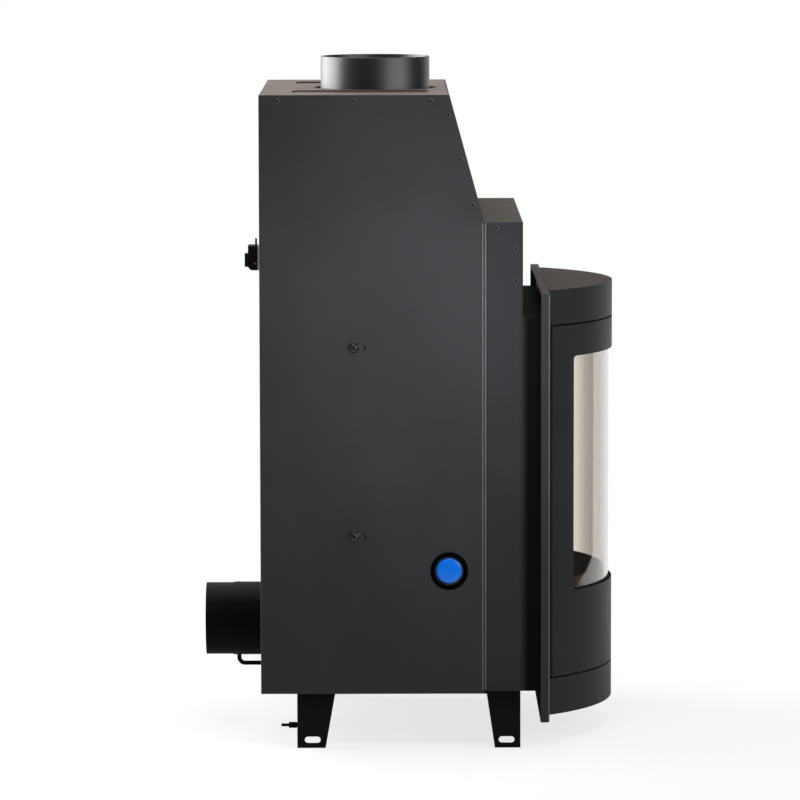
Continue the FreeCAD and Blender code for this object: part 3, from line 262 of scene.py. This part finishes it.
# painted highlight: the pipe's upward faces are painted lighter
pipePaint = makePaint("pipe_paint", rgb(0.0075, 0.0078, 0.0086), 0.6, specular=0.05,
                      dustAndTopLightTone=rgb(0.025, 0.025, 0.0255))
legPaint = makePaint("leg_paint", rgb(0.004, 0.004, 0.0043), 0.5, specular=0.1)
fireboxPaint = makePaint("firebox_paint", grey(0.02), 0.62, 800)
zincSteel = makeSteel("zinc_steel", rgb(0.42, 0.42, 0.43), 0.36)
flapSteel = makeSteel("flap_steel", rgb(0.09, 0.09, 0.094), 0.5)
handleSteel = makeSteel("handle_steel", grey(0.55), 0.26, (1, 1, 0.05))
blackScrew = makeMoulded("black_screw", rgb(0.011, 0.011, 0.0115), 0.2, 1.0)
grateIron = makeCasting("grate_iron", rgb(0.035, 0.034, 0.034))
liningBoard = makeBoard("lining_board", rgb(0.5, 0.42, 0.31))
bluePlastic = makeMoulded("blue_plastic", rgb(0.002, 0.147, 0.71), 0.14, 0.5)
blackRubber = makeMoulded("black_rubber", grey(0.0008), 0.6, 0.02)
tapeBlack = makeMoulded("tape_black", rgb(0.01, 0.008, 0.006), 0.8, 0.05)
blackPlastic = makeMoulded("black_plastic", rgb(0.0165, 0.019, 0.0195), 0.65, 0.06)
skirtGrey = makeMoulded("skirt_grey", rgb(0.045, 0.038, 0.033), 0.35, 0.5)
palePlastic = makeMoulded("pale_board", rgb(0.9, 0.88, 0.86), 0.55)
pegPlastic = makeMoulded("peg_plastic", rgb(0.3, 0.24, 0.27), 0.55)
redPlastic = makeMoulded("red_plastic", rgb(0.11, 0.006, 0.014), 0.6, 0.08)
railBrown = makePaint("rail_brown", rgb(0.075, 0.054, 0.034), 0.7, specular=0.05)
# painted light: a paler copy of the rail paint for the inner side
railInnerLit = makePaint("rail_inner_lit", rgb(0.26, 0.195, 0.125), 0.7, specular=0.05)
sealBraid = makeBraid("seal_braid", rgb(0.09, 0.088, 0.085))
stoveGlass = makeGlass("stove_glass")

paintPlan = {
    casingPaint: ["casing_side_left", "casing_side_right", "casing_rear_panel", "casing_slant_panel",
                  "front_box_floor"],
    cheekPaint: ["front_box_side_left", "front_box_side_right"],
    topLitPaint: ["casing_top_panel", "outlet_blanks"],
    hoodLitPaint: ["front_box_hood"],
    flangePaint: ["front_flange"],
    doorPaint: ["bay_top_cap", "bay_bottom_cap", "door_skin", "door_end_plates", "door_frame"],
    pipePaint: ["air_inlet_spigot", "damper_spindle", "hinge_pins"],
    legPaint: ["leg_front_left", "leg_front_right", "leg_rear_left", "leg_rear_right", "base_rails"],
    fireboxPaint: ["firebox_back", "firebox_side_left", "firebox_side_right", "firebox_floor", "firebox_roof",
                   "firebox_header", "smoke_dome", "air_box", "casing_standoffs", "baffle_plate"],
    zincSteel: ["ash_pan", "glass_clips", "latch_tongue"],
    flapSteel: ["damper_disc"],
    handleSteel: ["latch_bearings"],
    grateIron: ["fire_grate"],
    stoveGlass: ["door_glass"],
}
for material, names in paintPlan.items():
    for name in names:
        nodes[name].data.materials.clear()
        nodes[name].data.materials.append(material)
print("finishes on", sum(len(names) for names in paintPlan.values()), "frame pieces")


# modelling helpers: places and sizes come in millimetres and land in metres
def choose(piece):
    bpy.ops.object.select_all(action="DESELECT")
    piece.select_set(True)
    bpy.context.view_layer.objects.active = piece


def drawChain(name, points):
    bpy.ops.object.select_all(action="DESELECT")
    bpy.ops.mesh.primitive_plane_add(size=mm)
    piece = bpy.context.object
    piece.name = name
    bpy.ops.object.mode_set(mode="EDIT")
    bpy.ops.mesh.merge(type="CENTER")
    bpy.ops.transform.translate(value=points[0] * mm)
    for start, end in zip(points, points[1:]):
        bpy.ops.mesh.extrude_region_move(TRANSFORM_OT_translate={"value": (end - start) * mm})
    return piece


def spun(name, points, centre, axis, steps, angle=360):
    piece = drawChain(name, points)
    bpy.ops.mesh.select_all(action="SELECT")
    bpy.ops.mesh.spin(steps=steps, angle=radians(angle), center=Vector(centre) * mm, axis=axis)
    bpy.ops.mesh.select_all(action="SELECT")
    bpy.ops.mesh.remove_doubles(threshold=0.00001)
    bpy.ops.mesh.normals_make_consistent(inside=False)
    bpy.ops.object.mode_set(mode="OBJECT")
    return piece


# a profile is a list of radius and height along the axis
def turned(name, profile, centre, axis, steps=48):
    along = Vector(axis)
    side = Vector((0, 0, 1)) if abs(along.z) < 0.5 else Vector((1, 0, 0))
    points = [Vector(centre) + along * height + side * radius for radius, height in profile]
    return spun(name, points, centre, along, steps)


# an arc round an upright axis, from minus half to plus half the chord across the front
def arced(name, profile, centre, radius, half):
    outward = Vector((-half, -(radius ** 2 - half ** 2) ** 0.5, 0)) / radius
    points = [Vector(centre) + outward * reach + Vector((0, 0, height)) for reach, height in profile]
    return spun(name, points, centre, (0, 0, 1), 64, -2 * degrees(asin(half / radius)))


def copied(piece, shift):
    choose(piece)
    bpy.ops.object.duplicate_move(TRANSFORM_OT_translate={"value": Vector(shift) * mm})
    return bpy.context.object


def joined(name, pieces):
    bpy.ops.object.select_all(action="DESELECT")
    for piece in pieces:
        piece.select_set(True)
    bpy.context.view_layer.objects.active = pieces[0]
    bpy.ops.object.join()
    pieces[0].name = name
    return pieces[0]


def applied(piece, kind, **settings):
    choose(piece)
    modifier = piece.modifiers.new(kind.lower(), kind)
    for name, value in settings.items():
        setattr(modifier, name, value)
    bpy.ops.object.modifier_apply(modifier=modifier.name)
    return piece


def finished(piece, material, body, *hidden, angle=35):
    choose(piece)
    bpy.ops.object.transform_apply(location=True, rotation=True, scale=True)
    bpy.ops.object.shade_smooth_by_angle(angle=radians(angle))
    piece.data.materials.clear()
    piece.data.materials.append(material)
    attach(piece, body)
    if hidden:
        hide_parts(*hidden)
    return piece


def softened(node, width, material, body):
    piece = bpy.data.objects.new(node + "_soft", nodes[node].data.copy())
    scene.collection.objects.link(piece)
    choose(piece)
    bpy.ops.object.mode_set(mode="EDIT")
    bpy.ops.mesh.select_all(action="SELECT")
    bpy.ops.mesh.remove_doubles(threshold=0.00001)
    bpy.ops.mesh.dissolve_limited(angle_limit=radians(0.2))
    bpy.ops.object.mode_set(mode="OBJECT")
    applied(piece, "BEVEL", width=width * mm, segments=3, limit_method="ANGLE", angle_limit=radians(40),
            harden_normals=True)
    finished(piece, material, body, node)
    return applied(piece, "WEIGHTED_NORMAL", keep_sharp=True)


# a disc drawn out along the shift, with its far end drawn in by the taper
def stretched(name, radius, gauge, centre, turn, shift, taper=1.0):
    bpy.ops.mesh.primitive_cylinder_add(vertices=40, radius=radius * mm, depth=gauge * mm, rotation=turn,
                                        location=Vector(centre) * mm)
    piece = bpy.context.object
    piece.name = name
    choose(piece)
    bpy.ops.object.transform_apply(location=True, rotation=True, scale=True)
    bpy.ops.object.mode_set(mode="EDIT")
    bpy.ops.mesh.select_all(action="DESELECT")
    bpy.ops.object.mode_set(mode="OBJECT")
    for vertex in piece.data.vertices:
        vertex.select = (vertex.co - Vector(centre) * mm).dot(Vector(shift)) > 0
    bpy.ops.object.mode_set(mode="EDIT")
    bpy.ops.transform.translate(value=Vector(shift) * mm)
    bpy.ops.transform.resize(value=(taper, 1, 1), center_override=(Vector(centre) + Vector(shift)) * mm)
    bpy.ops.object.mode_set(mode="OBJECT")
    return piece


# blind rivets along the folded edges of the casing and the front box
rivet = {"radius": 4.0, "height": 1.5, "mandrel": 1.35, "pit": -2.6, "tail": -6.9, "sheet": 250.0}
rivetSpots = [(175.25, 875.3), (73.25, 875.3), (-28.75, 875.3), (-52.41, 856.8), (-68.86, 796.8), (-85.31, 736.8),
              (-116.95, 705.3), (-143.25, 677.3), (-143.25, 635.0)]
domeRadius, domeHeight, mandrel = rivet["radius"], rivet["height"], rivet["mandrel"]
rivetProfile = [(0, rivet["pit"]), (0.8 * mandrel, rivet["pit"]), (mandrel, 0.7 * domeHeight),
                (1.3 * mandrel, 0.95 * domeHeight), (0.5 * domeRadius, domeHeight),
                (0.75 * domeRadius, 0.8 * domeHeight), (0.93 * domeRadius, 0.5 * domeHeight),
                (domeRadius, 0.3 * domeHeight), (0.8 * domeRadius, 0), (0.4 * domeRadius, 0),
                (0.4 * domeRadius, rivet["tail"]), (0, rivet["tail"])]
rivetHeads = []
for side in (-1, 1):
    first = (side * rivet["sheet"],) + rivetSpots[0]
    head = turned("rivet", rivetProfile, first, (side, 0, 0), 20)
    rivetHeads.append(head)
    for y, z in rivetSpots[1:]:
        rivetHeads.append(copied(head, (0, y - first[1], z - first[2])))
heads = finished(joined("rivet_heads", rivetHeads), rivetPaint, "stove", "casing_rivets")
heads.data.materials.append(paintedShadeBlack)  # painted shade: the empty mandrel holes are painted black
for face in heads.data.polygons:
    offAxis = min(hypot(face.center.y / mm - y, face.center.z / mm - z) for y, z in rivetSpots)
    face.material_index = 1 if offAxis < mandrel else 0

# socket screws and washers in the casing slots
screw = {"washer": 8.0, "washerGauge": 1.4, "washerHole": 3.3, "head": 5.5, "headHeight": 3.0, "shank": 3.0,
         "tip": -20.6, "socket": 2.9, "socketLength": 4.4, "sheet": 250.0, "depth": 74.25,
         "rounding": [(0, 2.5), (0.3, 1.7), (0.9, 1.0), (1.6, 0.5), (2.4, 0.15)]}
screwHeights = (290.3, 545.3)
lid = screw["washerGauge"]
crown = lid + screw["headHeight"]
washerProfile = [(screw["washerHole"], 0), (screw["washer"], 0), (screw["washer"], lid - 0.3),
                 (screw["washer"] - 0.4, lid), (screw["washerHole"], lid), (screw["washerHole"], 0)]
screwProfile = [(0, screw["tip"]), (screw["shank"], screw["tip"]), (screw["shank"], lid), (screw["head"], lid)]
screwProfile += [(screw["head"] - inset, crown - drop) for inset, drop in screw["rounding"]] + [(0, crown)]
screwParts = []
for side in (-1, 1):
    place = (side * screw["sheet"], screw["depth"], screwHeights[0])
    washer = turned("washer", washerProfile, place, (side, 0, 0), 40)
    head = turned("screw", screwProfile, place, (side, 0, 0), 40)
    bpy.ops.mesh.primitive_cylinder_add(vertices=6, radius=screw["socket"] * mm, depth=screw["socketLength"] * mm,
                                        rotation=(0, radians(90), 0),
                                        location=Vector((side * (screw["sheet"] + crown), place[1], place[2])) * mm)
    key = bpy.context.object
    applied(head, "BOOLEAN", object=key, operation="DIFFERENCE")
    bpy.data.objects.remove(key)
    upper = (0, 0, screwHeights[1] - screwHeights[0])
    screwParts += [washer, head, copied(washer, upper), copied(head, upper)]
finished(joined("slot_screws", screwParts), blackScrew, "stove", "casing_bolts")

# backing plates that show in the slots
plate = {"radius": 3.9, "gauge": 1.2, "sheet": 250, "depth": 1.1, "rear": 86.6, "run": -23.2}
plates = []
for side in (-1, 1):
    for height in screwHeights:
        plates.append(stretched("plate", plate["radius"], plate["gauge"],
                                (side * (plate["sheet"] - plate["depth"]), plate["rear"], height),
                                (0, radians(90), 0), (0, plate["run"], 0)))
finished(joined("slot_plates", plates), casingPaint, "stove")
print("modelled the rivets, screws and slot plates")

# flue collar with a soft rim
collar = {"axis": (0, 45.55, 0), "inner": 73.0, "outer": 75.0, "flange": 105.0, "base": 793.3, "step": 799.3,
          "top": 926.3}
collarProfile = [(collar["inner"], collar["base"]), (collar["flange"], collar["base"]),
                 (collar["flange"], collar["step"] - 0.8), (collar["flange"] - 0.8, collar["step"]),
                 (collar["outer"] + 1, collar["step"]), (collar["outer"], collar["step"] + 1),
                 (collar["outer"], collar["top"] - 1.1), (collar["outer"] - 0.3, collar["top"] - 0.3),
                 (collar["outer"] - 1, collar["top"]), (collar["inner"] + 0.3, collar["top"] - 0.3),
                 (collar["inner"], collar["top"] - 1.1), (collar["inner"], collar["base"])]
finished(turned("flue_socket", collarProfile, collar["axis"], (0, 0, 1), 128), collarPaint, "stove", "flue_collar")

# plugged side port: rubber ring, and the blue cap with its skirt that pulls out
port = {"place": (-251.6, -53.45, 244.1), "bezel": 25.4, "bore": 19.5, "sleeve": 23.4, "ringDepth": -25.6,
        "plug": 17.0, "plugDepth": -4.2, "skirt": 19.3, "skirtDepth": -14.8}
ringProfile = [(port["bore"], port["ringDepth"]), (port["bore"], -0.9), (port["bore"] + 0.3, -0.25),
               (port["bore"] + 0.9, 0), (22.0, 0.25), (24.0, 0.1), (port["bezel"] - 0.4, -0.45),
               (port["bezel"], -1.1), (port["bezel"], -1.6), (port["sleeve"], -1.6),
               (port["sleeve"], port["ringDepth"]), (port["bore"], port["ringDepth"])]
plugProfile = [(0, 0.45), (9, 0.4), (14.4, 0.3), (15.4, 0.05), (16.3, -0.5), (16.8, -1.1), (port["plug"], -1.9),
               (port["plug"], port["plugDepth"]), (0, port["plugDepth"])]
skirtProfile = [(port["plug"], -3.4), (18.3, -3.4), (18.6, -1.4), (18.9, -1.0), (19.2, -1.3), (port["skirt"], -2.0),
                (port["skirt"], port["skirtDepth"]), (port["plug"], port["skirtDepth"]), (port["plug"], -3.4)]
finished(turned("port_ring", ringProfile, port["place"], (-1, 0, 0), 72), blackRubber, "stove", "side_port_grommet")
finished(turned("port_plug", plugProfile, port["place"], (-1, 0, 0), 72), bluePlastic, "port_cap", "side_port_cap")
finished(turned("port_skirt", skirtProfile, port["place"], (-1, 0, 0), 72), skirtGrey, "port_cap")

# ribbed sleeve and pin at the back of the rear leg
stub = {"place": (-216.0, 152.05, 29.3), "sleeve": 4.3, "sleeveLength": 11.7, "ribs": 4, "ribStart": 0.6,
        "ribPitch": 2.7, "ribDepth": 0.7, "pin": 2.0, "length": 21.7}
stubProfile = [(0, 0)]
for step in range(stub["ribs"]):
    start = stub["ribStart"] + step * stub["ribPitch"]
    stubProfile += [(stub["sleeve"] - stub["ribDepth"], start), (stub["sleeve"], start + 0.5),
                    (stub["sleeve"], start + 1.9), (stub["sleeve"] - stub["ribDepth"], start + 2.4)]
stubProfile += [(stub["sleeve"] - 0.9, stub["sleeveLength"]), (stub["pin"], stub["sleeveLength"]),
                (stub["pin"], stub["length"] - 0.8), (stub["pin"] - 0.6, stub["length"]), (0, stub["length"])]
finished(turned("rear_stub", stubProfile, stub["place"], (0, 1, 0), 28), blackRubber, "stove", "rear_spacer")

# red and pale peg on the side of the terminal block
peg = {"rear": (-188.0, 210.4, 656.6), "along": (0, -0.86, -0.51), "radius": 1.1, "length": 6.4, "edge": 0.3,
       "paleFrom": 207.9}
wide, end, edge = peg["radius"], peg["length"], peg["edge"]
pegProfile = [(0, 0), (wide - edge, 0), (wide, edge), (wide, end / 2), (wide, end - edge), (wide - edge, end), (0, end)]
marker = finished(turned("terminal_peg", pegProfile, peg["rear"], peg["along"], 20), redPlastic, "stove")
marker.data.materials.append(pegPlastic)
for face in marker.data.polygons:
    face.material_index = 1 if face.center.y < peg["paleFrom"] * mm else 0
print("modelled the collar, port, stub and peg")

# rolled hems along the seam and the flange corners: face, depth, radius, bottom, top; their light edge paint is a
# painted highlight
hem = {"wall": 0.6, "sweep": -200, "steps": 12}
hemRuns = {"seamRear": (250.2, -98.5, 1.45, 81.8, 712.3), "seamFront": (250.2, -102.2, 1.3, 81.8, 712.3),
           "flange": (255.6, -187.2, 1.0, 39.8, 616.3)}
hems = []
for outside, depth, radius, bottom, top in hemRuns.values():
    for side in (-1, 1):
        middle = Vector((side * (outside - radius), depth, bottom))
        along = Vector((0, 0, top - bottom))
        front = middle + Vector((0, -radius, 0))
        rolled = spun("hem", [front, front + along], middle, along.normalized() * side, hem["steps"], hem["sweep"])
        hems.append(applied(rolled, "SOLIDIFY", thickness=hem["wall"] * mm, offset=-1))
finished(joined("edge_hems", hems), edgeHighlightPaint, "stove")

# door handle: turned hub, tapered lever and spindle
handle = {"axis": (128.0, 168.3), "spindleRear": -181.15, "spindle": 5, "stem": 73.0, "hubFront": -266.15,
          "hub": 11.0, "lever": 62.0, "grip": 7.0, "gauge": 9.0, "taper": 0.82, "edge": 1.8}
handleX, handleZ = handle["axis"]
stem = handle["stem"]
hubProfile = [(0, 0), (handle["spindle"], 0), (handle["spindle"], stem), (9.6, stem), (handle["hub"], stem + 1.4),
              (handle["hub"], stem + 10), (9.8, stem + 11.4), (6.5, stem + 12), (5.6, stem + 11.6), (0, stem + 11.6)]
hub = turned("hub", hubProfile, (handleX, handle["spindleRear"], handleZ), (0, -1, 0), 48)
lever = stretched("lever", handle["grip"], handle["gauge"],
                  (handleX, handle["hubFront"] + handle["gauge"] / 2, handleZ - handle["lever"]),
                  (radians(90), 0, 0), (0, 0, handle["lever"]), handle["taper"])
applied(lever, "BEVEL", width=handle["edge"] * mm, segments=4, limit_method="ANGLE", angle_limit=radians(50))
finished(joined("door_lever", [hub, lever]), handleSteel, "latch", "door_handle")

# rope seal in the groove of the door frame
rope = {"middle": (0, -192.45, 329.05), "width": 329.6, "height": 446.7, "radius": 4.3, "corner": 14.0}
bpy.ops.object.select_all(action="DESELECT")
bpy.ops.mesh.primitive_plane_add(size=1, location=Vector(rope["middle"]) * mm, rotation=(radians(90), 0, 0))
seal = bpy.context.object
seal.scale = (rope["width"] * mm, rope["height"] * mm, 1)
choose(seal)
bpy.ops.object.transform_apply(location=True, rotation=True, scale=True)
bpy.ops.object.mode_set(mode="EDIT")
bpy.ops.mesh.select_all(action="SELECT")
bpy.ops.mesh.bevel(affect="VERTICES", offset=rope["corner"] * mm, segments=8)
bpy.ops.mesh.delete(type="ONLY_FACE")
bpy.ops.object.mode_set(mode="OBJECT")
bpy.ops.object.convert(target="CURVE")
seal = bpy.context.object
seal.data.bevel_depth = rope["radius"] * mm
seal.data.bevel_resolution = 4
bpy.ops.object.convert(target="MESH")
seal = bpy.context.object
seal.name = "door_rope"
finished(seal, sealBraid, "door", "door_seal")

# flat tape round the edge of the curved glass, with a black lip over the lower edge of the window
tape = {"axis": (0, -32.15, 0), "radius": 246.2, "gauge": 1.1, "low": 192.9, "high": 537.1, "lap": 10.5,
        "lowerLap": 13.6, "sideLap": 6.0, "half": 167.2, "lip": (245.9, 249.6), "lipLow": 204.75, "lipHigh": 205.15,
        "lipHalf": 160.0}
levels = [tape["low"], tape["low"] + tape["lowerLap"], tape["high"] - tape["lap"], tape["high"]]
band = arced("glass_tape", [(tape["radius"], level) for level in levels], tape["axis"], tape["radius"], tape["half"])
choose(band)
bpy.ops.object.mode_set(mode="EDIT")
bpy.ops.mesh.select_mode(type="FACE")
bpy.ops.mesh.select_all(action="DESELECT")
bpy.ops.object.mode_set(mode="OBJECT")
inner = tape["half"] - tape["sideLap"]
for face in band.data.polygons:
    face.select = abs(face.center.x) < inner * mm and levels[1] * mm < face.center.z < levels[2] * mm
bpy.ops.object.mode_set(mode="EDIT")
bpy.ops.mesh.delete(type="FACE")
bpy.ops.mesh.select_mode(type="VERT")
bpy.ops.object.mode_set(mode="OBJECT")
applied(band, "SOLIDIFY", thickness=tape["gauge"] * mm, offset=0)
near, far = tape["lip"]
lipProfile = [(near, tape["lipLow"]), (far, tape["lipLow"]), (far, tape["lipHigh"]), (near, tape["lipHigh"]),
              (near, tape["lipLow"])]
lip = arced("lip", lipProfile, tape["axis"], near, tape["lipHalf"])
finished(joined("glass_tape", [band, lip]), tapeBlack, "door", "glass_gasket")

# curved rail inside the glass, along its lower edge
rail = {"radius": 238.4, "low": 186.0, "high": 220.0, "lip": 3.6, "gauge": 1.2, "half": 163.0}
railProfile = [(rail["radius"], rail["low"]), (rail["radius"], rail["high"] - 1),
               (rail["radius"] - 0.4, rail["high"] - 0.3), (rail["radius"] - 1.2, rail["high"]),
               (rail["radius"] - rail["lip"], rail["high"])]
strip = arced("glass_rail", railProfile, tape["axis"], rail["radius"], rail["half"])
applied(strip, "SOLIDIFY", thickness=rail["gauge"] * mm, offset=0)
finished(strip, railBrown, "door")
strip.data.materials.append(railInnerLit)  # painted light: the side that looks into the stove is painted paler, to look lit
for face in strip.data.polygons:
    inward = (Vector(tape["axis"]) * mm - face.center).to_2d()
    face.material_index = 1 if face.normal.to_2d().dot(inward) > 0 and abs(face.normal.z) < 0.5 else 0
print("modelled the hems, handle, seals and rail")

# boards, castings, plastics and sheets with their edges broken: node, width, finish
softPlan = [("lining_back", 2.0, liningBoard), ("lining_left", 2.0, liningBoard), ("lining_right", 2.0, liningBoard),
            ("hearth_slab", 2.0, liningBoard), ("baffle_board", 2.0, liningBoard), ("log_guard", 1.0, grateIron),
            ("terminal_block", 0.8, blackPlastic), ("terminal_base", 0.5, palePlastic),
            ("terminal_tab", 0.5, redPlastic), ("casing_side_left", 1.0, casingPaint),
            ("casing_side_right", 1.0, casingPaint), ("casing_slant_panel", 1.0, casingPaint),
            ("front_box_side_left", 1.0, cheekPaint), ("front_box_side_right", 1.0, cheekPaint),
            ("front_box_hood", 1.0, hoodLitPaint), ("front_flange", 1.4, flangePaint),
            ("bay_top_cap", 1.0, doorPaint), ("bay_bottom_cap", 1.0, doorPaint)]
for node, width, material in softPlan:
    softened(node, width, material, "stove")
throatTop = 600  # painted shade: the hood is painted near black below this height, where the flange shades the throat
hood = bpy.data.objects["front_box_hood_soft"]
hood.data.materials.append(paintedShadeBlack)
for face in hood.data.polygons:
    face.material_index = 1 if face.center.z < throatTop * mm else 0
print("broke the edges of", len(softPlan), "pieces")

# floor, in metres
stage = {"floorSize": 5.0, "floorTone": 0.86, "bounceTone": 0.3, "fadeStart": 0.75, "fadeEnd": 1.6, "shadow": 0.25,
         "frontEdge": -1.62, "sideEdge": -1.7, "mirrorTone": 0.5, "nearHalf": (0.25, 0.6), "ahead": (-1.3, -0.35)}
halfFloor = stage["floorSize"] / 2
bpy.ops.object.select_all(action="DESELECT")
bpy.ops.mesh.primitive_plane_add(size=stage["floorSize"],
                                 location=(stage["sideEdge"] + halfFloor, stage["frontEdge"] + halfFloor, 0))
floor = bpy.context.object
floor.name = "studio_floor"
choose(floor)
bpy.ops.object.transform_apply(location=True, rotation=True, scale=True)
ground = Finish("floor_white")
bounced = ground.node("ShaderNodeLightPath", {}, {}, "Is Diffuse Ray")
ground.set(colour=ground.blend(bounced, grey(stage["floorTone"]), grey(stage["bounceTone"])),
           roughness=0.9, specular=0.0)
reach = ground.node("ShaderNodeVectorMath", {"operation": "LENGTH"}, {0: ground.where()}, "Value")
mirroring = Wire(ground, bounced.socket.node.outputs["Is Glossy Ray"])
# in gloss and glass the near half looks dimmer, and fades out ahead of the door
nearSide = ground.span(ground.axis("X"), *stage["nearHalf"], 1.0, 0.0)
beside = ground.span(ground.axis("Y"), *stage["ahead"])
dimmed = nearSide * (1 - stage["mirrorTone"] * beside)
white = ground.node("ShaderNodeEmission", {}, {"Color": grey(1), "Strength": 1.0})
unlit = ground.node("ShaderNodeEmission", {}, {"Color": grey(0), "Strength": 0.0})
glow = ground.node("ShaderNodeMixShader", {}, {0: mirroring * dimmed, 1: white, 2: unlit})
fade = ground.span(reach, stage["fadeStart"], stage["fadeEnd"], 1 - stage["shadow"], 1.0) * (1 - bounced)
mixed = ground.node("ShaderNodeMixShader", {}, {0: fade, 1: Wire(ground, ground.shader.outputs[0]), 2: glow})
ground.plug(ground.tree.nodes["Material Output"].inputs["Surface"], mixed)
floor.data.materials.append(ground.material)

# world: white to the camera, and a white side and a dark room in gloss and glass; turns are in degrees from +X to -Y
room = {"ambient": 0.15, "darkTone": 0.05, "frontTurn": (49, 50.5), "rearTurn": (-105, -80), "glassTurn": (110, 130)}
frontTurn, rearTurn, glassTurn = [[radians(turn) for turn in room[name]]
                                  for name in ("frontTurn", "rearTurn", "glassTurn")]
studio = Finish("studio_world", bpy.data.worlds.new("studio_world"))
scene.world = studio.material
rays = studio.node("ShaderNodeLightPath", {}, {}, "Is Camera Ray")
glossRay = Wire(studio, rays.socket.node.outputs["Is Glossy Ray"])
throughRay = Wire(studio, rays.socket.node.outputs["Is Transmission Ray"])
heading = studio.node("ShaderNodeTexCoord", {}, {}, "Generated")
headX = studio.node("ShaderNodeSeparateXYZ", {}, {"Vector": heading}, "X")
headY = studio.node("ShaderNodeSeparateXYZ", {}, {"Vector": heading}, "Y")
turn = studio.node("ShaderNodeMath", {"operation": "ARCTAN2"}, {0: 0 - headY, 1: headX})
whiteSide = studio.span(turn, *frontTurn, 1.0, room["darkTone"])
backdrop = whiteSide * studio.span(turn, *rearTurn, room["darkTone"], 1.0)
behindGlass = whiteSide + studio.span(turn, *glassTurn)
mirrored = glossRay * backdrop + (1 - glossRay) * room["ambient"]
level = rays + (1 - rays) * (throughRay * behindGlass + (1 - throughRay) * mirrored)
studio.shader.inputs["Color"].default_value = grey(1)
studio.plug(studio.shader.inputs["Strength"], level)


def addSoftbox(name, place, target, size, power, colour, inGloss):
    data = bpy.data.lights.new(name, "AREA")
    data.shape = "RECTANGLE"
    data.size, data.size_y = size
    data.energy = power
    data.color = colour
    lamp = bpy.data.objects.new(name, data)
    scene.collection.objects.link(lamp)
    lamp.location = place
    lamp.rotation_euler = (Vector(target) - Vector(place)).to_track_quat("-Z", "Y").to_euler()
    lamp.visible_camera = False
    lamp.visible_glossy = inGloss


# lamps: place, target, size, watts, colour, and whether gloss shows them
softboxes = {
    "side_softbox": ((-0.66, -0.03, 0.62), (-0.25, -0.03, 0.58), (0.25, 0.25), 2.0, (0.97, 0.985, 1.0), False),
    "front_softbox": ((-1.6, -1.65, 1.15), (0, 0, 0.7), (2.0, 1.3), 26, (1.0, 1.0, 1.0), True),
    "top_softbox": ((-0.2, 0.0, 2.6), (0, 0, 0.5), (2.0, 2.0), 30, (1.0, 0.93, 0.86), True),
    "rear_softbox": ((0.7, 1.7, 1.0), (0, 0.1, 0.8), (2.0, 2.0), 82, (1.0, 1.0, 1.0), True),
    "fill_softbox": ((1.6, -1.5, 1.2), (0, 0, 0.5), (1.4, 1.4), 16, (1.0, 1.0, 1.0), False),
}
for name, settings in softboxes.items():
    addSoftbox(name, *settings)

# camera at the photograph's place
view = {"place": (-6.8276, 0.02475, 1.1769), "pitch": 6.088, "yaw": 0.108, "roll": 0.108, "lens": 222.33,
        "sensor": 36, "clipEnd": 60}
cameraData = bpy.data.cameras.new("photo_camera")
cameraData.lens = view["lens"]
cameraData.sensor_width = view["sensor"]
cameraData.clip_end = view["clipEnd"]
camera = bpy.data.objects.new("photo_camera", cameraData)
scene.collection.objects.link(camera)
aim = Euler((radians(90 - view["pitch"]), 0, radians(-90 - view["yaw"]))).to_matrix()
camera.location = view["place"]
camera.rotation_euler = (aim @ Matrix.Rotation(radians(-view["roll"]), 3, "Z")).to_euler()
scene.camera = camera
scene.view_settings.view_transform = "Standard"
print("studio, lamps and camera are set")
